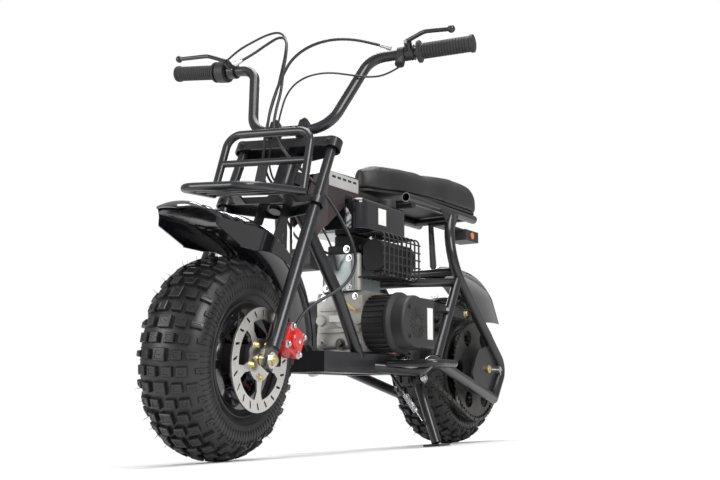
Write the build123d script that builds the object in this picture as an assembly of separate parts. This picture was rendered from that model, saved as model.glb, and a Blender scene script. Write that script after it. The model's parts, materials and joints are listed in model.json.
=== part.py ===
from build123d import *
import math
import os

# A mini dirt bike, in millimetres and degrees. Every piece is first drawn on the upright bike
# with its steering straight: X forward, Y to the rider's left, Z up, the rear axle above the
# origin and the ground at Z = 0. The front group is drawn about the front axle, along the
# steering line. At the end the bars are turned, the bike is leaned on its side stand and the
# middle of its base becomes the origin.

# Wheels and stance
wheelbase = 879.0
tyre_r = 185.0
tyre_w = 132.0
crown_r = 110.0
tread_half = 48.0
lug_h = 8.0
lug_l = 24.0
lug_w = 24.0
lug_y = 37.0
lug_rows = 20
rake = 24.2
axle_lead = 23.5
steer_rest = 7.9
lean = 4.0

# Rim, hub and brake disc
rim_r = 76.0
lip_r = 90.0
lip_half = 50.0
rim_wall = 3.0
well_r = 60.0
well_half = 26.0
disc_r = 93.6
disc_y = 84.0
disc_t = 3.5
disc_band = 22.0
disc_spokes = 5
disc_slots = 20
slot_l = 14.0
slot_w = 4.0
slot_slant = 25.0
hub_r = 26.0
hub_flange_r = 38.0
rim_web_t = 5.0
axle_d = 12.0
nut_flats = 19.0
nut_t = 11.0
fit = 0.05
gap = 0.3

# Fork, yokes and handlebar, along the steering line from the front axle
leg_y = 103.0
leg_lower_d = 25.0
leg_upper_d = 20.5
lower_yoke_s = 338.0
top_yoke_s = 476.0
yoke_half = 122.0
yoke_ear_r = 19.0
yoke_t = 22.0
lower_yoke_t = 16.0
yoke_front = 14.0
yoke_wall = 3.0
leg_top_s = 484.0
stem_d = 25.4
head_d = 42.0
head_from = 356.0
head_to = 456.0
cup_d = 48.0
bar_d = 22.2
bar_n = 12.0
bar_low_s = 511.0
bar_high_s = 690.0
bar_low_y = 89.0
bar_bend_y = 141.0
bar_half = 358.0
bar_back = 8.0
bar_rise = 22.0
bar_low_r = 60.0
bar_high_r = 45.0
grip_l = 118.0
grip_d = 33.0
clamp_y = 34.0
left_perch = 13.0
right_perch = 40.0
switch_at = 31.0

# Front brake caliper, behind the left leg
caliper_from = -82.0
caliper_to = -20.0
caliper_low = 40.0
caliper_high = 90.0
caliper_in = 71.0
caliper_out = 112.0
caliper_slot = 1.5

# Front rack
rack_d = 16.0
rack_half = 101.0
rack_low_n = 50.0
rack_low_s = 330.0
rack_top_n = 73.0
rack_top_s = 459.0
rack_bar_s = 395.0
tray_x = 62.0
tray_half = 74.0
slat_d = 10.0
strap_y = 58.0
strap_w = 24.0
strap_t = 5.0

# Front mudguard
guard_r = 264.0
guard_w = 126.0
guard_t = 3.0
guard_shoulder = 238.0
guard_skirt = 196.0
guard_to = 82.0
guard_cut_r = 199.0
guard_cut_back = 41.0
nose_straight = 140.0
nose_droop_r = 90.0
nose_droop = 45.0
nose_lip_x = 52.0
nose_lip_rise = 0.33
nose_reach = 196.0
nose_side = 126.0
nose_tip_r = 36.0
guard_ear_from = -33.0
guard_ear_to = -6.0
guard_ear_y = 30.0
guard_ear_t = 4.0

# Frame tubes
tube_d = 25.0
rail_y = 60.0
rail_top = 206.0
rail_h = 42.0
rail_w = 28.0
rail_front = 650.0
down_tube_foot = 505.0
rail_rear = 345.0
hoop_y = 116.0
plate_t = 6.0
beam_w = 36.0
beam_low = 545.0
beam_high = 571.0
beam_back = 300.0
brace_d = 20.0
brace_x = 150.0
loop_x = 312.0
loop_z = 373.0
seat_rail_y = 80.0
seat_rail_z = 569.0
seat_rail_d = 22.0
seat_rail_front = 335.0
seat_rail_end = -12.0
seat_half = 96.0
seat_back = -30.0
seat_front = 414.0
seat_pan_t = 6.0
rail_bore_d = 18.0
rail_bore_l = 40.0
engine_plate_t = 5.0
rear_guard_r = 264.0
rear_guard_to = 130.0
rear_guard_tail = 100.0
rear_guard_w = 120.0
rear_guard_drop = 16.0

# Engine
crank_x = 432.0
crank_z = 272.0
clutch_x = 432.0
clutch_z = 272.0
clutch_r = 58.0
case_top = 342.0
tank_top = 538.0
tank_front = 530.0

# Footpegs
peg_teeth = 8

# Chain line
chain_y = 84.0
chain_w = 12.0
chain_h = 10.0
sprocket_r = 119.0
pinion_r = 20.0
sprocket_teeth = 59
tooth_gap_r = 4.2
sprocket_t = 5.0

# Rear brake, on the right
rear_disc_r = 80.0
rear_disc_t = 3.5
rear_hub_right = 76.0

# Side stand
stand_x = 341.0
stand_y = 110.0
stand_z = 152.0
foot_x = 352.0
foot_y = 162.0
stand_d = 22.0
stand_eye_r = 15.0
stand_eye_t = 12.0
stand_pin_d = 12.0
stand_ear_t = 5.0
stand_foot_z = 18.0
spring_d = 10.0

# Cables
brake_cable_d = 6.0
throttle_cable_d = 5.0
wire_d = 4.0

pieces = {}


def keep(name, shape):
    """Remembers a finished piece under its plain name."""
    pieces[name] = shape


cos_r = math.cos(math.radians(rake))
sin_r = math.sin(math.radians(rake))
fork_line = Plane(origin=(0, 0, 0), x_dir=(cos_r, 0, sin_r), z_dir=(-sin_r, 0, cos_r))
steer_axis = Axis(
    (wheelbase - axle_lead * cos_r, 0, tyre_r - axle_lead * sin_r), (-sin_r, 0, cos_r)
)


def fork_xz(n, s):
    """Forward and up from the front axle, for n ahead of the fork legs and s along them."""
    return n * cos_r - s * sin_r, n * sin_r + s * cos_r


def fork_point(n, y, s):
    x, z = fork_xz(n, s)
    return (x, y, z)


def head_point(s):
    """A point of the steering line on the frame, s along it from the front axle's level."""
    x, z = fork_xz(-axle_lead, s)
    return Vector(wheelbase + x, 0, tyre_r + z)


def lean_over(shape):
    return shape.rotate(Axis.X, -lean)


def place_fork(shape):
    """From the front axle, straight ahead, to the turned steering of the leaning bike."""
    moved = shape.moved(Location((wheelbase, 0, tyre_r)))
    return lean_over(moved.rotate(steer_axis, steer_rest))


def bent_tube(points, radii, diameter):
    """A round tube along straight runs joined by arcs, one radius for each bend."""
    if len(points) > 2:
        path = FilletPolyline(*points, radius=radii)
    else:
        path = Line(*points)
    start = Plane(origin=path @ 0, z_dir=path % 0)
    return sweep(start * Circle(diameter / 2), path=path)


def rod(a, b, diameter):
    return bent_tube([a, b], [], diameter)


def across(x, y_from, y_to, z, radius):
    """A round bar along Y."""
    bar = Cylinder(radius, y_to - y_from, align=(Align.CENTER, Align.CENTER, Align.MIN))
    return Pos(x, y_from, z) * Rot(-90, 0, 0) * bar


def left_and_right(shape):
    return Compound([shape, mirror(shape, about=Plane.XZ)])


def block(x0, x1, y0, y1, z0, z1):
    return Pos((x0 + x1) / 2, (y0 + y1) / 2, (z0 + z1) / 2) * Box(x1 - x0, y1 - y0, z1 - z0)


def coped(tube, *others):
    """A tube cut to the tubes that it is welded to: the stretch between them is kept."""
    for other in others:
        tube = tube - other
    return max(tube.solids(), key=lambda solid: solid.volume)


def side_plate(outline, y_from, y_to):
    """A plate cut to a side-view outline of (x, z) points, from one Y to another."""
    face = Plane.XZ * make_face(Polyline(*outline, close=True).edges())
    return Pos(0, y_to, 0) * extrude(face, amount=y_to - y_from)


def turned(profile):
    """A ring about the Y axis from an outline of (r, y) points."""
    face = Plane.XY * make_face(Polyline(*profile, close=True).edges())
    return revolve(face, axis=Axis.Y)


# Tyres: round shoulders, bulging walls and rows of square lugs on a crowned tread
def tyre_body(reach):
    """The tyre's solid of revolution, its tread at a reach from the axle."""
    crown_centre = tyre_r - crown_r
    arc_r = reach - crown_centre
    half_angle = math.asin(tread_half / crown_r)
    edge = (crown_centre + arc_r * math.cos(half_angle), arc_r * math.sin(half_angle))
    wall_top = (138.0, tyre_w / 2)
    bead_half = lip_half - rim_wall
    bead_r = lip_r + 2
    crown = ThreePointArc((edge[0], -edge[1]), (reach, 0), edge)
    shoulder = TangentArc([edge, wall_top], tangent=(-0.62, 0.78))
    wall = TangentArc([wall_top, (bead_r, bead_half)], tangent=(-1, 0))
    bead = Line((bead_r, bead_half), (rim_r + gap, bead_half))
    half_lines = [shoulder, wall, bead]
    other = [mirror(e, about=Plane.XZ) for e in half_lines]
    inner = Line((rim_r + gap, bead_half), (rim_r + gap, -bead_half))
    face = make_face([crown] + half_lines + other + [inner])
    return revolve(face, axis=Axis.Y)


def lug(row, y):
    """A block square to the crown, rows counted round from the ground."""
    tilt = math.degrees(math.asin(y / crown_r))
    tall = Pos(0, 0, crown_r) * Box(lug_l, lug_w, 3 * lug_h)
    tall = Pos(0, 0, tyre_r - crown_r) * (Rot(-tilt, 0, 0) * tall)
    return Rot(0, 180 + 360 / lug_rows * row, 0) * tall


def tyre():
    """The carcass, with each lug cut off level with the tread's full reach."""
    blocks = []
    for row in range(lug_rows):
        blocks += [lug(row, 0), lug(row + 0.5, lug_y), lug(row + 0.5, -lug_y)]
    tops = tyre_body(tyre_r) & Compound(blocks)
    return tyre_body(tyre_r - lug_h).fuse(*tops.solids())


def rim():
    """A pressed steel rim: lips, bead seats, a deep well and a web to the hub."""
    w = rim_wall
    outline = [
        (lip_r, -lip_half),
        (lip_r, -lip_half + w),
        (rim_r, -lip_half + w),
        (rim_r, -well_half - 8),
        (well_r, -well_half),
        (well_r, well_half),
        (rim_r, well_half + 8),
        (rim_r, lip_half - w),
        (lip_r, lip_half - w),
        (lip_r, lip_half),
        (rim_r - w, lip_half),
        (rim_r - w, well_half + 10),
        (well_r - w, well_half + 2),
        (well_r - w, rim_web_t / 2),
        (hub_r + fit, rim_web_t / 2),
        (hub_r + fit, -rim_web_t / 2),
        (well_r - w, -rim_web_t / 2),
        (well_r - w, -well_half - 2),
        (rim_r - w, -well_half - 10),
        (rim_r - w, -lip_half),
    ]
    return turned(outline)


def hub(left_y, right_y):
    """A turned hub with a running bore for the axle and flanges at its ends."""
    body = across(0, -right_y, left_y, 0, hub_r)
    flange = across(0, left_y - 8, left_y, 0, hub_flange_r)
    flange += across(0, -right_y, -right_y + 8, 0, hub_flange_r)
    bore = across(0, -right_y - 1, left_y + 1, 0, axle_d / 2 + fit)
    return body + flange - bore


def brake_disc():
    """A five-spoked steel disc: outer band, curved-in spokes and a bolted centre."""
    plate = Cylinder(disc_r, disc_t) - Cylinder(disc_r - disc_band, disc_t)
    plate += Cylinder(hub_flange_r, disc_t)
    out = disc_r - disc_band + 3
    waist = 0.75 * out
    spoke = Polygon(
        (20, -11), (20, 11), (waist, 6.5), (out, 14), (out, -14), (waist, -6.5), align=None
    )
    spoke = extrude(spoke, amount=disc_t / 2, both=True)
    for k in range(disc_spokes):
        plate += Rot(0, 0, 18 + 360 / disc_spokes * k) * spoke
    plate -= Cylinder(axle_d / 2 + 4, 2 * disc_t)
    slot = Rot(0, 0, slot_slant) * extrude(SlotOverall(slot_l, slot_w), amount=disc_t, both=True)
    plate -= PolarLocations(disc_r - disc_band / 2, disc_slots) * slot
    return Pos(0, disc_y, 0) * Rot(-90, 0, 0) * plate


knobby_tyre = tyre()
keep("front_tyre", place_fork(knobby_tyre))
keep("front_rim", place_fork(rim()))
keep("front_hub", place_fork(hub(disc_y - disc_t / 2, 78.0)))
keep("front_disc", place_fork(brake_disc()))


# Fork legs, yokes and stem, drawn along the steering line
def fork_leg():
    lower = Pos(0, leg_y, 24) * Cylinder(
        leg_lower_d / 2, lower_yoke_s - 12 - 24, align=(Align.CENTER, Align.CENTER, Align.MIN)
    )
    upper = Pos(0, leg_y, lower_yoke_s - 14) * Cylinder(
        leg_upper_d / 2,
        leg_top_s - lower_yoke_s + 14,
        align=(Align.CENTER, Align.CENTER, Align.MIN),
    )
    end = block(-13, 13, leg_y - 5, leg_y + 5, -18, 40)
    end -= across(0, leg_y - 10, leg_y + 10, 0, axle_d / 2 + fit)
    return lower + upper + end


def fork_legs():
    """Both legs, the left one with the lug that the brake caliper bolts to."""
    leg = fork_leg()
    right = mirror(leg, about=Plane.XZ)
    lug = block(caliper_to, 0, leg_y - 5, leg_y + 5, caliper_low + 4, caliper_high - 4)
    return fork_line.location * Compound([leg + lug, right])


def front_caliper():
    """A block straddling the disc behind the left leg, with a slot for it."""
    body = block(caliper_from, caliper_to, caliper_in, caliper_out, caliper_low, caliper_high)
    body = fillet(body.edges().filter_by(Axis.Y), 9)
    slot = disc_t / 2 + caliper_slot
    body -= across(0, disc_y - slot, disc_y + slot, 0, disc_r + caliper_slot)
    middle_n = (caliper_from + caliper_to) / 2
    middle_s = (caliper_low + caliper_high) / 2
    piston = across(middle_n, caliper_out, caliper_out + 9, middle_s, 15)
    return fork_line.location * (body + piston)


def front_axle():
    """Spindle through hub and fork ends, with a spacer, nut and head outside them."""
    end = leg_y + 5
    spindle = across(0, -end - nut_t, end + nut_t, 0, axle_d / 2)
    nut = RegularPolygon(nut_flats / 2, 6, major_radius=False)
    nut = Rot(-90, 0, 0) * extrude(nut, amount=nut_t - 3)
    left = Pos(0, end, 0) * nut
    right = Pos(0, -end - nut_t + 3, 0) * nut
    spacer_l = across(0, disc_y + disc_t / 2 + 1, leg_y - 5, 0, 9.5)
    spacer_r = across(0, -leg_y + 5, -79, 0, 9.5)
    return spindle + left + right + spacer_l + spacer_r


def yoke_outline(front, back):
    """A yoke's plan: a flat front, round ears at the legs and sides drawn in to the stem."""
    ears = Pos(0, leg_y) * Circle(yoke_ear_r) + Pos(0, -leg_y) * Circle(yoke_ear_r)
    boss = Pos(-axle_lead, 0) * Circle(-axle_lead - back)
    web = make_hull(ears.edges() + boss.edges())
    far = 2 * yoke_half
    web &= Pos(front - far / 2, 0) * Rectangle(far, far)
    return web + ears


def top_yoke():
    """An upside-down pressed channel with round ends, holding legs, stem and bar clamps."""
    outer = extrude(yoke_outline(18, -44), amount=yoke_t)
    inner = extrude(offset(yoke_outline(18, -44), -yoke_wall), amount=yoke_t - yoke_wall)
    shell = Pos(0, 0, top_yoke_s - yoke_t / 2) * (outer - inner)
    for y in (leg_y, -leg_y):
        shell -= Pos(0, y, top_yoke_s) * Cylinder(leg_upper_d / 2 + fit, 2 * yoke_t)
    shell -= Pos(-axle_lead, 0, top_yoke_s) * Cylinder(stem_d / 2 + fit, 2 * yoke_t)
    top = top_yoke_s + yoke_t / 2
    for y in (clamp_y, -clamp_y):
        riser = block(bar_n - 14, bar_n + 14, y - 9, y + 9, top, bar_low_s + 17)
        riser -= across(bar_n, y - 20, y + 20, bar_low_s, bar_d / 2)
        shell += riser
    return fork_line.location * shell


def lower_yoke():
    """The lower channel with the steering stem standing on it."""
    plan = yoke_outline(yoke_front, -46)
    outer = extrude(plan, amount=lower_yoke_t)
    inner = extrude(offset(plan, -yoke_wall), amount=lower_yoke_t - yoke_wall)
    shell = Pos(0, 0, lower_yoke_s - lower_yoke_t / 2) * (outer - inner)
    for y in (leg_y, -leg_y):
        shell -= Pos(0, y, lower_yoke_s) * Cylinder(leg_upper_d / 2 + fit, 60)
    stem = Pos(-axle_lead, 0, lower_yoke_s - 4) * Cylinder(
        stem_d / 2,
        top_yoke_s + yoke_t / 2 + 10 - lower_yoke_s,
        align=(Align.CENTER, Align.CENTER, Align.MIN),
    )
    return fork_line.location * (shell + stem)


def handlebar():
    left = [
        fork_point(bar_n - bar_back, bar_half, bar_high_s + bar_rise),
        fork_point(bar_n, bar_bend_y, bar_high_s),
        fork_point(bar_n, bar_low_y, bar_low_s),
    ]
    right = [(x, -y, z) for x, y, z in reversed(left)]
    radii = [bar_high_r, bar_low_r, bar_low_r, bar_high_r]
    return bent_tube(left + right, radii, bar_d)


bar_end = Vector(*fork_point(bar_n - bar_back, bar_half, bar_high_s + bar_rise))
bar_bend = Vector(*fork_point(bar_n, bar_bend_y, bar_high_s))
grip_way = (bar_bend - bar_end).normalized()


def on_bar(distance):
    """A plane square to the left grip's tube, at a distance in from its open end."""
    return Plane(origin=bar_end + grip_way * distance, x_dir=(0, 0, 1), z_dir=grip_way)


def grip():
    sleeve = on_bar(-4).location * Cylinder(
        grip_d / 2, grip_l, align=(Align.CENTER, Align.CENTER, Align.MIN)
    )
    end = on_bar(-4).location * Cylinder(
        grip_d / 2 + 2, 8, align=(Align.CENTER, Align.CENTER, Align.MIN)
    )
    flange = on_bar(grip_l - 10).location * Cylinder(
        grip_d / 2 + 7, 6, align=(Align.CENTER, Align.CENTER, Align.MIN)
    )
    bore = on_bar(0).location * Cylinder(
        bar_d / 2 + fit, grip_l, align=(Align.CENTER, Align.CENTER, Align.MIN)
    )
    return sleeve + end + flange - bore


def brake_lever(ring_at):
    """Perch round the bar, and the curved lever blade with its ball end."""
    ring = on_bar(ring_at).location * (
        Cylinder(bar_d / 2 + 5, 18) - Cylinder(bar_d / 2 + fit, 20)
    )
    centre = bar_end + grip_way * ring_at
    ahead = Vector(*fork_point(1, 0, 0)).normalized()
    knuckle = centre + ahead * 30 + Vector(0, 4, 4)
    perch = rod(centre + ahead * (bar_d / 2), knuckle, 16)
    bore = on_bar(ring_at).location * Cylinder(bar_d / 2 + fit, 60)
    bend = centre + ahead * 46 - grip_way * 45 + Vector(0, 0, 6)
    tip = bar_end + ahead * 46 + grip_way * 30 + Vector(0, 0, 2)
    blade = bent_tube([knuckle, bend, tip], [40], 9)
    ball = Pos(*tip) * Sphere(8)
    return ring + perch + blade + ball - bore


def brake_levers():
    left = brake_lever(grip_l + left_perch)
    right = brake_lever(grip_l + right_perch)
    return Compound([left, mirror(right, about=Plane.XZ)])


def throttle_housing():
    """The twist grip's two-part housing inside the right grip."""
    at = grip_l + 1
    body = on_bar(at).location * Cylinder(24, 24, align=(Align.CENTER, Align.CENTER, Align.MIN))
    body -= on_bar(at - 5).location * Cylinder(
        bar_d / 2 + fit, 40, align=(Align.CENTER, Align.CENTER, Align.MIN)
    )
    return mirror(body, about=Plane.XZ)


def kill_switch():
    at = grip_l + switch_at
    ring = on_bar(at).location * (Cylinder(bar_d / 2 + 4, 14) - Cylinder(bar_d / 2 + fit, 20))
    centre = bar_end + grip_way * at
    down = Vector(*fork_point(0, 0, -1)).normalized()
    body = rod(centre + down * (bar_d / 2), centre + down * 28, 20)
    bore = on_bar(at).location * Cylinder(bar_d / 2 + fit, 60)
    return ring + body - bore


keep("fork_legs", place_fork(fork_legs()))
keep("front_caliper", place_fork(front_caliper()))
keep("front_axle", place_fork(front_axle()))
keep("top_yoke", place_fork(top_yoke()))
keep("lower_yoke", place_fork(lower_yoke()))
keep("handlebar", place_fork(handlebar()))
keep("grips", place_fork(left_and_right(grip())))
keep("brake_levers", place_fork(brake_levers()))
keep("throttle_housing", place_fork(throttle_housing()))
keep("kill_switch", place_fork(kill_switch()))


# Front rack: a loop up behind, a tray loop forward, slats and a centre strap
def front_rack():
    low = fork_point(rack_low_n, rack_half, rack_low_s)
    low_r = fork_point(rack_low_n, -rack_half, rack_low_s)
    top = fork_point(rack_top_n, rack_half - 6, rack_top_s)
    top_r = fork_point(rack_top_n, -rack_half + 6, rack_top_s)
    back = bent_tube([low, top, top_r, low_r], [30, 30], rack_d)
    tray_z = low[2] - 16
    tray = bent_tube(
        [low, (tray_x, tray_half, tray_z), (tray_x, -tray_half, tray_z), low_r],
        [40, 40],
        rack_d,
    )
    rack = back + tray
    up = (rack_bar_s - rack_low_s) / (rack_top_s - rack_low_s)
    bar_at = rack_low_n + (rack_top_n - rack_low_n) * up
    bar_half_width = rack_half - 6 * up
    left = fork_point(bar_at, bar_half_width, rack_bar_s)
    right = fork_point(bar_at, -bar_half_width, rack_bar_s)
    rack += rod(left, right, 14)
    for k in (0.3, 0.6):
        x = low[0] + (tray_x - low[0]) * k
        z = low[2] + (tray_z - low[2]) * k
        y = rack_half + (tray_half - rack_half) * k
        rack += rod((x, y, z), (x, -y, z), slat_d)
    rack += rod(low, low_r, slat_d)
    for y in (strap_y, -strap_y):
        strap = block(
            yoke_front, rack_low_n, y - strap_w / 2, y + strap_w / 2,
            rack_low_s - 1, rack_low_s - 1 + strap_t,
        )
        rack += fork_line.location * strap
    centre = [
        fork_xz(n, s)
        for n, s in (
            (rack_low_n - 2, rack_low_s), (rack_low_n + 2, rack_low_s),
            (bar_at + 2, rack_bar_s), (bar_at - 2, rack_bar_s),
        )
    ]
    return rack + side_plate(centre, -11, 11)


keep("front_rack", place_fork(front_rack()))


# Front mudguard: an arched sheet round the wheel, with a raised nose and a tail behind
def guard_section(radius, width, drop, thick):
    """An arched strip's cross-section: Y across, X outward from the wheel's axle."""
    half = width / 2
    top = ThreePointArc((radius - drop, -half), (radius, 0), (radius - drop, half))
    under = ThreePointArc(
        (radius - drop, -half + thick), (radius - thick, 0), (radius - drop, half - thick)
    )
    ends = [Line(top @ 0, under @ 0), Line(top @ 1, under @ 1)]
    return make_face([top, under] + ends)


def wheel_guard(radius, width, drop, from_angle, to_angle):
    """The section swept round the axle, angles counted up from straight ahead."""
    section = guard_section(radius, width, drop, guard_t)
    swept = revolve(section, axis=Axis.Y, revolution_arc=-(to_angle - from_angle))
    return swept.rotate(Axis.Y, -from_angle)


def guard_end(radius, width, drop, angle, way, length, end_width):
    """A straight run on from one end of a wheel guard, along its tangent, tapering."""
    wide = guard_section(radius, width, drop, guard_t)
    narrow = guard_section(radius, end_width, drop * 0.7, guard_t)
    run = loft([Plane.XY.location * wide, Location((0, 0, length)) * narrow])
    if way < 0:
        run = mirror(run, about=Plane.XY)
    return run.rotate(Axis.Y, -angle)


def channel_section(radius, half, shoulder, skirt, thick):
    """A deep channel: skirts hanging from a round-topped crown. Y across, X outward."""
    outer = [
        Line((skirt, -half), (shoulder, -half)),
        ThreePointArc((shoulder, -half), (radius, 0), (shoulder, half)),
        Line((shoulder, half), (skirt, half)),
    ]
    inner_half = half - thick
    inner = [
        Line((skirt, -inner_half), (shoulder, -inner_half)),
        ThreePointArc((shoulder, -inner_half), (radius - thick, 0), (shoulder, inner_half)),
        Line((shoulder, inner_half), (skirt, inner_half)),
    ]
    ends = [
        Line((skirt, -half), (skirt, -inner_half)),
        Line((skirt, half), (skirt, inner_half)),
    ]
    return make_face(outer + inner + ends)


def front_guard():
    """A deep pressed channel round the back of the wheel, running out to a drooped nose."""
    section = channel_section(guard_r, guard_w / 2, guard_shoulder, guard_skirt, guard_t)
    guard = revolve(section, axis=Axis.Y, revolution_arc=-guard_to).rotate(Axis.Y, -90)
    guard += Rot(0, -90, 0) * extrude(section, amount=-nose_straight)
    droop_z = guard_r - nose_droop_r
    droop = revolve(Pos(-droop_z, 0, 0) * section, axis=Axis.Y, revolution_arc=nose_droop)
    guard += Pos(nose_straight, 0, droop_z) * droop.rotate(Axis.Y, -90)
    tail_cut = across(-guard_cut_back, -guard_w, guard_w, 0, guard_cut_r)
    lip_z = guard_skirt + 2
    far = 400
    rise = lip_z + nose_lip_rise * (far - nose_lip_x)
    lip = [(nose_lip_x, 0), (nose_lip_x, lip_z), (far, rise), (far, 0)]
    guard -= tail_cut + side_plate(lip, -guard_w, guard_w)
    half = guard_w / 2 + 1
    sides = Polygon((-far, -half), (-far, half), (nose_side, half), (nose_side, -half), align=None)
    tip = Pos(nose_reach - nose_tip_r, 0) * Circle(nose_tip_r)
    plan = make_hull(sides.edges() + tip.edges())
    return guard & extrude(plan, amount=far, both=True)


def guard_bracket():
    """An arch under the lower yoke that the guard's crown is bolted to."""
    top = lower_yoke_s + lower_yoke_t / 2 - yoke_wall
    y = guard_ear_y
    arch = block(guard_ear_from, guard_ear_to, -y, y, top - 110, top)
    arch -= block(
        guard_ear_from - 1, guard_ear_to + 1, -y + guard_ear_t, y - guard_ear_t,
        top - 111, top - guard_ear_t,
    )
    arch -= Pos(-axle_lead, 0, top) * Cylinder(stem_d / 2 + gap, 40)
    half = guard_w / 2
    outline = [
        Line((0, -half), (guard_shoulder + gap, -half)),
        ThreePointArc(
            (guard_shoulder + gap, -half), (guard_r + gap, 0), (guard_shoulder + gap, half)
        ),
        Line((guard_shoulder + gap, half), (0, half)),
        Line((0, half), (0, -half)),
    ]
    room = revolve(make_face(outline), axis=Axis.Y)
    return coped(fork_line.location * arch, room)


keep("front_guard", place_fork(front_guard()))
keep("guard_bracket", place_fork(guard_bracket()))


# Frame: head tube, backbone, down tubes, cradle, hoops and seat rails
def along_head(s_from, s_to, radius):
    """A round bar about the steering line, between two distances along it."""
    at = Plane(origin=head_point(s_from), x_dir=(cos_r, 0, sin_r), z_dir=(-sin_r, 0, cos_r))
    align = (Align.CENTER, Align.CENTER, Align.MIN)
    return at.location * Cylinder(radius, s_to - s_from, align=align)


head_x = head_point(head_from).X
cup_low = lower_yoke_s + lower_yoke_t / 2 + gap
cup_high = top_yoke_s - yoke_t / 2 - gap


def head_tube():
    """The tube with a bearing cup at each end, reaching to the yokes' running gaps."""
    body = along_head(cup_low, cup_high, head_d / 2)
    body += along_head(cup_low, head_from + 6, cup_d / 2)
    body += along_head(head_to - 6, cup_high, cup_d / 2)
    return body - along_head(cup_low - 5, cup_high + 5, stem_d / 2 + fit)


def seat_rails():
    """Two rails with open ends, joined by tubes across, with a gusset under each."""
    mouth = (seat_rail_front, seat_rail_y, seat_rail_z)
    rail = rod(mouth, (seat_rail_end, seat_rail_y, seat_rail_z), seat_rail_d)
    bore_end = (seat_rail_front - rail_bore_l, seat_rail_y, seat_rail_z)
    rail -= rod((seat_rail_front + 1, seat_rail_y, seat_rail_z), bore_end, rail_bore_d)
    gusset = side_plate([(186, 566), (90, 566), (124, 512)], seat_rail_y + 8, seat_rail_y + 11)
    side = rail + gusset
    rails = side + mirror(side, about=Plane.XZ)
    rails += across(20, -seat_rail_y, seat_rail_y, seat_rail_z, 9)
    for y in (seat_rail_y, -seat_rail_y):
        rear = (seat_rail_end - 1, y, seat_rail_z)
        rails -= rod(rear, (seat_rail_end + rail_bore_l, y, seat_rail_z), rail_bore_d)
    return rails


def backbone():
    """The square tube from the head tube back to a round tube between the seat rails."""
    beam = block(beam_back, head_x - 20, -beam_w / 2, beam_w / 2, beam_low, beam_high)
    reach = seat_rail_y
    cross = coped(across(beam_back, -reach, reach, 560, 11), seat_rails())
    return coped(beam + cross, along_head(head_from - 20, head_to + 20, head_d / 2))


def stand_line():
    """The side stand's plane: origin at its pivot, Z along its pin, X along the bike."""
    drop = stand_z - stand_foot_z
    tilt = math.atan2(foot_y - stand_y, drop)
    return Plane(
        origin=(stand_x, stand_y, stand_z),
        x_dir=(1, 0, 0),
        z_dir=(0, math.cos(tilt), math.sin(tilt)),
    )


def stand_ears():
    """Two ears and the pin between them, on an arm out from the left rail."""
    middle = (Align.CENTER, Align.CENTER, Align.CENTER)
    ears = None
    for side in (1, -1):
        at = side * (stand_eye_t / 2 + gap + stand_ear_t / 2)
        ear = Pos(0, 0, at) * Cylinder(stand_eye_r, stand_ear_t, align=middle)
        ear += Pos(0, -16, at) * Box(2 * stand_eye_r, 32, stand_ear_t, align=middle)
        ears = ear if ears is None else ears + ear
    ears += Cylinder(stand_pin_d / 2, stand_eye_t + 2 * stand_ear_t + 6, align=middle)
    ears = stand_line().location * ears
    arm = block(stand_x + 4, stand_x + 30, rail_y, stand_y + 8, 172, 188)
    hook = rod((392, 70, 168), spring_top, 6)
    return ears + arm + hook


spring_top = (388, 98, 130)
spring_low = (368, 138, 62)

def cradle():
    """Two deep side rails, cross members, the engine's plate and the stand's ears."""
    low = rail_top - rail_h
    rail = block(rail_rear, rail_front, rail_y - rail_w / 2, rail_y + rail_w / 2, low, rail_top)
    rails = rail + mirror(rail, about=Plane.XZ)
    inner = rail_y - rail_w / 2
    front = block(rail_front - 20, rail_front, -inner, inner, low, rail_top)
    middle = block(down_tube_foot - 15, down_tube_foot + 15, -inner, inner, low, rail_top)
    back = block(rail_rear, rail_rear + 25, -inner, inner, low, rail_top)
    plate = block(350, 496, -rail_y + 2, rail_y - 2, rail_top, rail_top + engine_plate_t)
    return rails + front + middle + back + plate + stand_ears()


def down_tube():
    points = [
        (head_x - 22, 10, 522), (head_x - 58, 34, 452), (head_x - 106, 72, 326),
        (down_tube_foot, 62, rail_top - 10),
    ]
    return coped(bent_tube(points, [120, 60], tube_d), head_tube(), cradle())


hoop_corner = (-25, hoop_y + 4, 112)

def side_hoop():
    """The rear tube down to the axle, the foot tube to the cradle, the strut and the axle plate."""
    rear = bent_tube(
        [
            (118, seat_rail_y + 4, seat_rail_z - 12),
            (206, hoop_y - 4, 458),
            (-85, hoop_y + 3, 190),
            hoop_corner,
        ],
        [110, 40],
        tube_d,
    )
    foot = bent_tube(
        [hoop_corner, (330, 142, 198), (388, 146, 172), (452, 66, 180)], [60, 30], tube_d
    )
    strut = rod((150, hoop_y - 2, 392), (304, 138, 201), tube_d - 3)
    plate = side_plate(
        [(-78, 196), (-30, 118), (64, 138), (80, 176), (44, 232), (-20, 244)],
        hoop_y - 6, hoop_y - 6 + plate_t,
    )
    plate -= across(0, 0, 2 * hoop_y, tyre_r, axle_d / 2 + fit)
    rear = coped(rear + Pos(*hoop_corner) * Sphere(tube_d / 2), seat_rails())
    foot = coped(foot, rear, cradle())
    return Compound([rear, foot, coped(strut, rear, foot), coped(plate, rear, foot)])


hoop = side_hoop()
hoops = left_and_right(hoop)


def frame_braces():
    """The loop behind the engine and the tube over the rear guard, both between the hoops."""
    y = hoop_y - 4
    loop = bent_tube(
        [(150, y, 388), (loop_x, 74, loop_z), (loop_x, -74, loop_z), (150, -y, 388)],
        [34, 34],
        brace_d,
    )
    centre_r = rear_guard_r + gap + brace_d / 2
    z = tyre_r + math.sqrt(centre_r**2 - brace_x**2)
    over = across(brace_x, -y, y, z, brace_d / 2)
    right = mirror(hoop, about=Plane.XZ)
    return Compound([coped(loop, hoop, right), coped(over, hoop, right)])


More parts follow.
